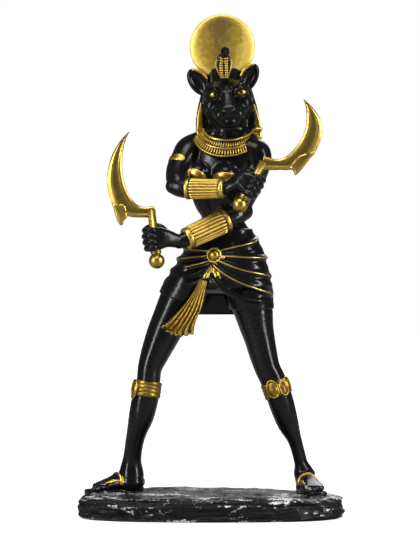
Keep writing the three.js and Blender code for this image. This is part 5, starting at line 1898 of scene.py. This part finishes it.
@dataclass
class Kilt:
    """A cloth wrapped round the hips, drawn to a knot in front in long gilt-edged folds."""

    levels: Rows = (
        (164, 7.4, 5, 17, 12.4),
        (158, 7.2, 5, 21.4, 14.4),
        (150, 6.3, 5, 25.5, 16),
        (141, 5, 5, 29.2, 17.4),
        (133, 3.7, 5, 31.8, 18),
        (126, 2.8, 5.4, 32.6, 17.6),
    )
    folds: Rows = (
        (105, 153, 163.6, 1.4, 1.1),
        (125, 151, 149.4, 1.2, 1.2),
        (120, 149.6, 138, 2.6, 1.2),
        (112, 146, 126.4, 2.4, 1.2),
        (-105, 153.4, 157, 1.2, 1.1),
        (-115, 151.4, 147.4, 1.2, 1.2),
        (-110, 148.6, 139.4, 1.6, 1.2),
    )
    black_folds: Rows = ((-92, 144.6, 132, 1.6, 1.6), (-84, 140, 122.6, 1.5, 1.5), (62, 140, 123.4, 2.4, 1.4))
    sleeves: Rows = (
        (
            (-8, 7, 143, 9.4, 13),
            (-12.6, 7, 134, 13.4, 16),
            (-17.4, 6.8, 126.4, 13.2, 14.4),
            (-18, 6.8, 125.2, 12.6, 13.8),
        ),
        (
            (18, 3.6, 143, 12, 13),
            (21.2, 3.2, 130, 14.2, 15),
            (23.4, 2.8, 121.6, 12.6, 13.8),
            (23.6, 2.8, 120, 12.1, 13.2),
        ),
    )
    cell: float = 0.52

    def hip(self, angle: float, height: float, lift: float = 0.0) -> Array:
        """A point on the hips. Angle 0 is the knot in front, and +90 is the figure's left side."""
        _, x, y, half_wide, half_deep = row_at(self.levels, height)
        turn, place = math.radians(HIP_TURN), math.radians(angle)
        wide = np.array([math.cos(turn), math.sin(turn), 0])
        deep = np.array([-math.sin(turn), math.cos(turn), 0])
        out = wide * (half_wide + lift) * math.sin(place) - deep * (half_deep + lift) * math.cos(place)
        return np.array([x, y, height]) + out

    def fold(self, row: Point, lift: float, size: float = 1.0, drop: float = 0.0) -> list[tuple[float, ...]]:
        """A fold from the knot round the hip: end angle, first and last height, haste and thickness."""
        angle, top, bottom, haste, radius = row
        rows = []
        for share in np.linspace(0, 1, 15):
            sag = 0.6 * math.sin(math.pi * share) + drop * share
            height = bottom + (top - bottom) * math.exp(-haste * share) - sag
            girth = radius * size * (0.75 + 0.35 * math.sin(math.pi * min(share * 1.2, 1)))
            rows.append((*self.hip(angle * share, height, lift), girth))
        return rows

    def build(self, shop: Shop, trees: Trees) -> None:
        """Adds the cloth and the gilt edges of its folds."""
        clay = Clay((-38, -22, 112), (42, 32, 170), self.cell)
        clay.add(Stack((*self.levels[:-1], (129, 3, 6.4, 25, 12)), HIP_TURN), 1.0)
        for sleeve in self.sleeves:
            clay.add(Limb(sleeve, flat=True), 2.0)
        panel = ((136, 3, 11, 16, 7), (124, 3.6, 14, 15, 3.6), (116.2, 4, 15, 13, 1.8))
        clay.add(Stack(panel, power=3), 2.0)
        for row in self.folds:
            clay.cut(Limb(self.fold(row, 1.6, 1.1, 2.6)), 2.4)
        for row in (*self.folds, *self.black_folds):
            clay.add(Limb(self.fold(row, -0.1, 1.1)), 1.6)
        _, x, y, half_wide, half_deep = self.levels[0]
        lifts = ((166.4, -0.6), (166, 0.8), (162.4, 1.4), (162, 0))
        belt = [(z, x, y, half_wide - 1.4 + lift, half_deep - 1 + lift) for z, lift in lifts]
        clay.add(Stack(belt, HIP_TURN), 0.6)
        shop.piece("kilt", smoothed(clay.surface(), 2), Palette.BLACK)
        lines = [Line.through(self.fold(row, 0.9, 0.44), 3) for row in self.folds]
        shop.piece("kilt_piping", trees.pipe("kilt_piping", lines), Palette.BRASS)
        Knot(self.hip(0, 151.2, 0.6)).build(shop)


@dataclass
class Knot:
    """The round clasp in front, three short tails below it and the long fringed sash on the right thigh."""

    centre: Array
    pleats: int = 6

    def clasp(self) -> Surface:
        """A dome in a ring."""
        turn = math.radians(HIP_TURN)
        out = (math.sin(turn), -math.cos(turn), 0)
        profile = [(0, -2), (4.2, -2), (4.5, -0.6), (4.55, 0.4), (4.3, 1.1), (3.9, 1.4), (3.5, 1.2)]
        profile += [(3.2, 0.7), (2.9, 0.8)]
        profile += [(2.9 * math.cos(t), 0.9 + 2 * math.sin(t)) for t in np.linspace(0.1, 1.55, 12)]
        return turned(profile, self.centre, out, 64)

    def tails(self) -> Surface:
        """Three grooved ends of cloth."""
        parts = []
        x, y = self.centre[:2]
        for side, low in ((-4.8, 137.6), (0.4, 135.2), (3.8, 137)):
            clay = Clay((x + min(side, 0) - 5, y - 6, 132), (x + max(side, 0) + 5, y + 4, 151), 0.26)
            rows = [(x + 0.2, y + 0.6, 148.4, 1.1), (x + side * 0.5, y - 0.6, 143, 1.5)]
            rows += [(x + side, y - 1, low + 1.6, 2.1)]
            clay.add(Limb([*rows, (x + side, y - 1, low + 0.3, 1.9)], flat=True), 0.2)
            for groove in (-0.9, 0.9):
                start = (x + side * 0.3 + groove * 0.4, y - 2.2, 146, 0.3)
                clay.cut(Limb([start, (x + side + groove, y - 3.1, low - 1, 0.45)]), 0.5)
            parts.append(clay.surface())
        return merged(parts)

    def sash(self) -> Surface:
        """A pleated cloth that fans out to a curled hem."""
        down = np.linspace(0, 1, 46)
        left = spline([(-6.8, 137), (-11.6, 128.6), (-17, 121), (-23.6, 114.6), (-29.6, 110.4)], 20)
        right = spline([(-2.6, 136.4), (-4, 129), (-6, 121), (-8.6, 113.6), (-10.6, 106.4)], 20)
        across = np.linspace(0, 1, 24 * self.pleats)
        rings = []
        for share in down:
            step = share * (len(left) - 1)
            edge = np.array(
                [[np.interp(step, np.arange(len(side)), column) for column in side.T] for side in (left, right)]
            )
            wave = np.abs(np.sin(np.pi * self.pleats * across + 0.5 * np.sin(5 * across)))
            swell = 0.5 + 1.7 * share
            bow = np.sin(np.pi * across)
            x = edge[0, 0] + (edge[1, 0] - edge[0, 0]) * across + 0.5 * share * np.sin(9 * share + 4 * across)
            z = edge[0, 1] + (edge[1, 1] - edge[0, 1]) * across
            z = z - 3.2 * share**3 * np.sin(np.pi * across)
            z = z - 0.9 * share**6 * np.cos(2 * np.pi * self.pleats * across)
            y = -12.9 + 4.6 * share**1.4 - 2.4 * np.sin(np.pi * share) * 0.8 - swell * wave - 1.2 * bow * share
            front = np.column_stack([x, y, z])
            rings.append(np.vstack([front, (front + (0, 1.6 + 1.5 * share, 0))[::-1]]))
        return loft(np.array(rings))

    def build(self, shop: Shop) -> None:
        """Adds the clasp, the tails and the sash."""
        shop.piece("clasp", self.clasp(), Palette.GOLD, reach=3)
        ball = [(1.3 * math.cos(t), 1.3 * math.sin(t)) for t in np.linspace(-1.5, 1.5, 12)]
        bead = turned(ball, self.centre + (4.9, -1.6, -1.2), (0, -1, 0), 24)
        shop.piece("clasp_bead", bead, Palette.GOLD)
        shop.piece("sash_tails", self.tails(), Palette.GOLD)
        shop.piece("sash", smoothed(self.sash(), 1), Palette.GOLD)


# Tools shared by the sub-assemblies


@dataclass
class Trees:
    """The two geometry node trees and how they are run."""

    shop: Shop
    piping: Tree = field(default_factory=piping_tree)
    rows: Tree = field(default_factory=row_tree)

    def pipe(self, name: str, lines: Sequence[Line], sides: int = 12, step: float = 0.5) -> Surface:
        """Round cords along lines.

        Args:
            name: Name of the result.
            lines: What the cords follow.
            sides: Sides of the round.
            step: Distance between rings, in millimetres.

        Returns:
            The cords.
        """
        values = {"Sides": sides, "Step": step * MM, "Material": self.shop.paint(Palette.GOLD)}
        return self.piping.grow(name, lines, values)

    def row(self, name: str, lines: Sequence[Line], count: int, size: Point) -> Surface:
        """Equal beads along lines.

        Args:
            name: Name of the result.
            lines: What the beads follow.
            count: How many there are on each line.
            size: Half of a bead's width, thickness and length, in millimetres.

        Returns:
            The beads.
        """
        values = dict(zip(("Width", "Thickness", "Length"), (half * MM for half in size)))
        return self.rows.grow(name, lines, {"Count": count, **values, "Material": self.shop.paint(Palette.GOLD)})


# Camera, lights and floor


@dataclass
class Studio:
    """A pale floor, soft lights and the camera at the figurine's front."""

    distance: float = 1.8
    rise: float = 1.23
    target: Point = (-0.00092, 0.0, 0.14415)
    view_height: float = 0.3079
    sensor: float = 36.0
    surroundings: float = 0.13
    reach: float = 6.0
    drop: float = 0.0002
    near_glow: float = 0.7
    far_glow: float = 0.95

    def camera(self) -> None:
        """Sets up the camera."""
        data = bpy.data.cameras.new("camera")
        data.sensor_width = self.sensor
        data.lens = self.distance * self.sensor / self.view_height
        data.clip_end = 50
        camera = bpy.data.objects.new("camera", data)
        tilt = math.radians(self.rise)
        away = Vector((0, -math.cos(tilt), math.sin(tilt)))
        camera.location = Vector(self.target) + away * self.distance
        camera.rotation_euler = (-away).to_track_quat("-Z", "Y").to_euler()
        bpy.context.scene.collection.objects.link(camera)
        bpy.context.scene.camera = camera

    @staticmethod
    def light(name: str, place: Point, aim: Point, size: Point, power: float) -> None:
        """Adds a rectangular soft light.

        Args:
            name: The light's name.
            place: Where it stands, in metres.
            aim: What it points at.
            size: Its width and height.
            power: Its power in watts.
        """
        data = bpy.data.lights.new(name, "AREA")
        data.shape = "RECTANGLE"
        data.size, data.size_y = size
        data.energy = power
        lamp = bpy.data.objects.new(name, data)
        lamp.location = place
        lamp.rotation_euler = (Vector(aim) - Vector(place)).to_track_quat("-Z", "Y").to_euler()
        bpy.context.scene.collection.objects.link(lamp)

    def floor(self) -> None:
        """Adds a round pale floor, open to the view from every side."""
        turns = np.linspace(0, 2 * math.pi, 97)[:-1]
        points = [(self.reach * math.cos(t), self.reach * math.sin(t), -self.drop) for t in turns]
        mesh = bpy.data.meshes.new("floor")
        mesh.from_pydata(points, [], [tuple(range(len(points)))])
        wiring = Wiring("Pale floor")
        wiring.set(wiring.shader.inputs["Base Color"], rgba((0.4, 0.4, 0.4)))
        wiring.set(wiring.shader.inputs["Roughness"], 0.7)
        wiring.set(wiring.shader.inputs["Emission Color"], rgba((1, 1, 1)))
        place = wiring.node("ShaderNodeTexCoord").outputs["Object"]
        away = wiring.node("ShaderNodeVectorMath", {0: place}, operation="LENGTH").outputs["Value"]
        glow = wiring.span(away, (0.25, 1.6), (self.near_glow, self.far_glow))
        seen = wiring.node("ShaderNodeLightPath").outputs["Is Camera Ray"]
        shown = wiring.node("ShaderNodeMath", {0: glow, 1: seen}, operation="MULTIPLY").outputs[0]
        wiring.set(wiring.shader.inputs["Emission Strength"], shown)
        mesh.materials.append(wiring.material)
        floor = bpy.data.objects.new("floor", mesh)
        bpy.context.scene.collection.objects.link(floor)

    def surround(self) -> None:
        """Adds a surrounding that is white to look at and sheds less light than it shows."""
        world = bpy.data.worlds.new("World")
        world.use_nodes = True
        tree = world.node_tree
        background = tree.nodes["Background"]
        background.inputs["Color"].default_value = rgba((1.0, 1.0, 1.0))
        strength = tree.nodes.new("ShaderNodeMapRange")
        strength.inputs["To Min"].default_value = self.surroundings
        strength.inputs["To Max"].default_value = 1.0
        path = tree.nodes.new("ShaderNodeLightPath")
        tree.links.new(path.outputs["Is Camera Ray"], strength.inputs["Value"])
        tree.links.new(strength.outputs["Result"], background.inputs["Strength"])
        bpy.context.scene.world = world

    def build(self) -> None:
        """Sets the scene."""
        self.surround()
        bpy.context.scene.view_settings.view_transform = "Standard"
        middle = (0, 0, 0.15)
        self.light("left_strip", (-0.95, -0.75, 0.4), middle, (0.12, 1.0), 18)
        self.light("right_strip", (1.0, -0.55, 0.4), middle, (0.12, 1.0), 18)
        self.light("top", (-0.1, -0.5, 1.2), middle, (0.6, 0.5), 9)
        self.light("back", (0.25, 1.2, 1.0), middle, (0.7, 0.7), 9)
        self.floor()
        self.camera()


def main() -> None:
    """Builds the figurine and its studio."""
    logging.basicConfig(level=logging.INFO, format="%(name)s: %(message)s")
    shop = Shop()
    trees = Trees(shop)
    RockBase().build(shop)
    RIGHT_LEG.build(shop, trees)
    LEFT_LEG.build(shop, trees)
    Kilt().build(shop, trees)
    Torso().build(shop, trees)
    fist_on(RIGHT_SWORD, 0.47, RIGHT_WRIST).build(shop)
    fist_on(LEFT_SWORD, 0.43, LEFT_WRIST).build(shop)
    Head().build(shop, trees)
    Headdress().build(shop)
    SunDisc().build(shop)
    Cobra().build(shop, trees)
    Collar().build(shop, trees)
    RIGHT_SWORD.build(shop)
    LEFT_SWORD.build(shop)
    Studio().build()
    log.info("%d triangles in all", sum(shop.triangles.values()))


if __name__ == "__main__":
    main()
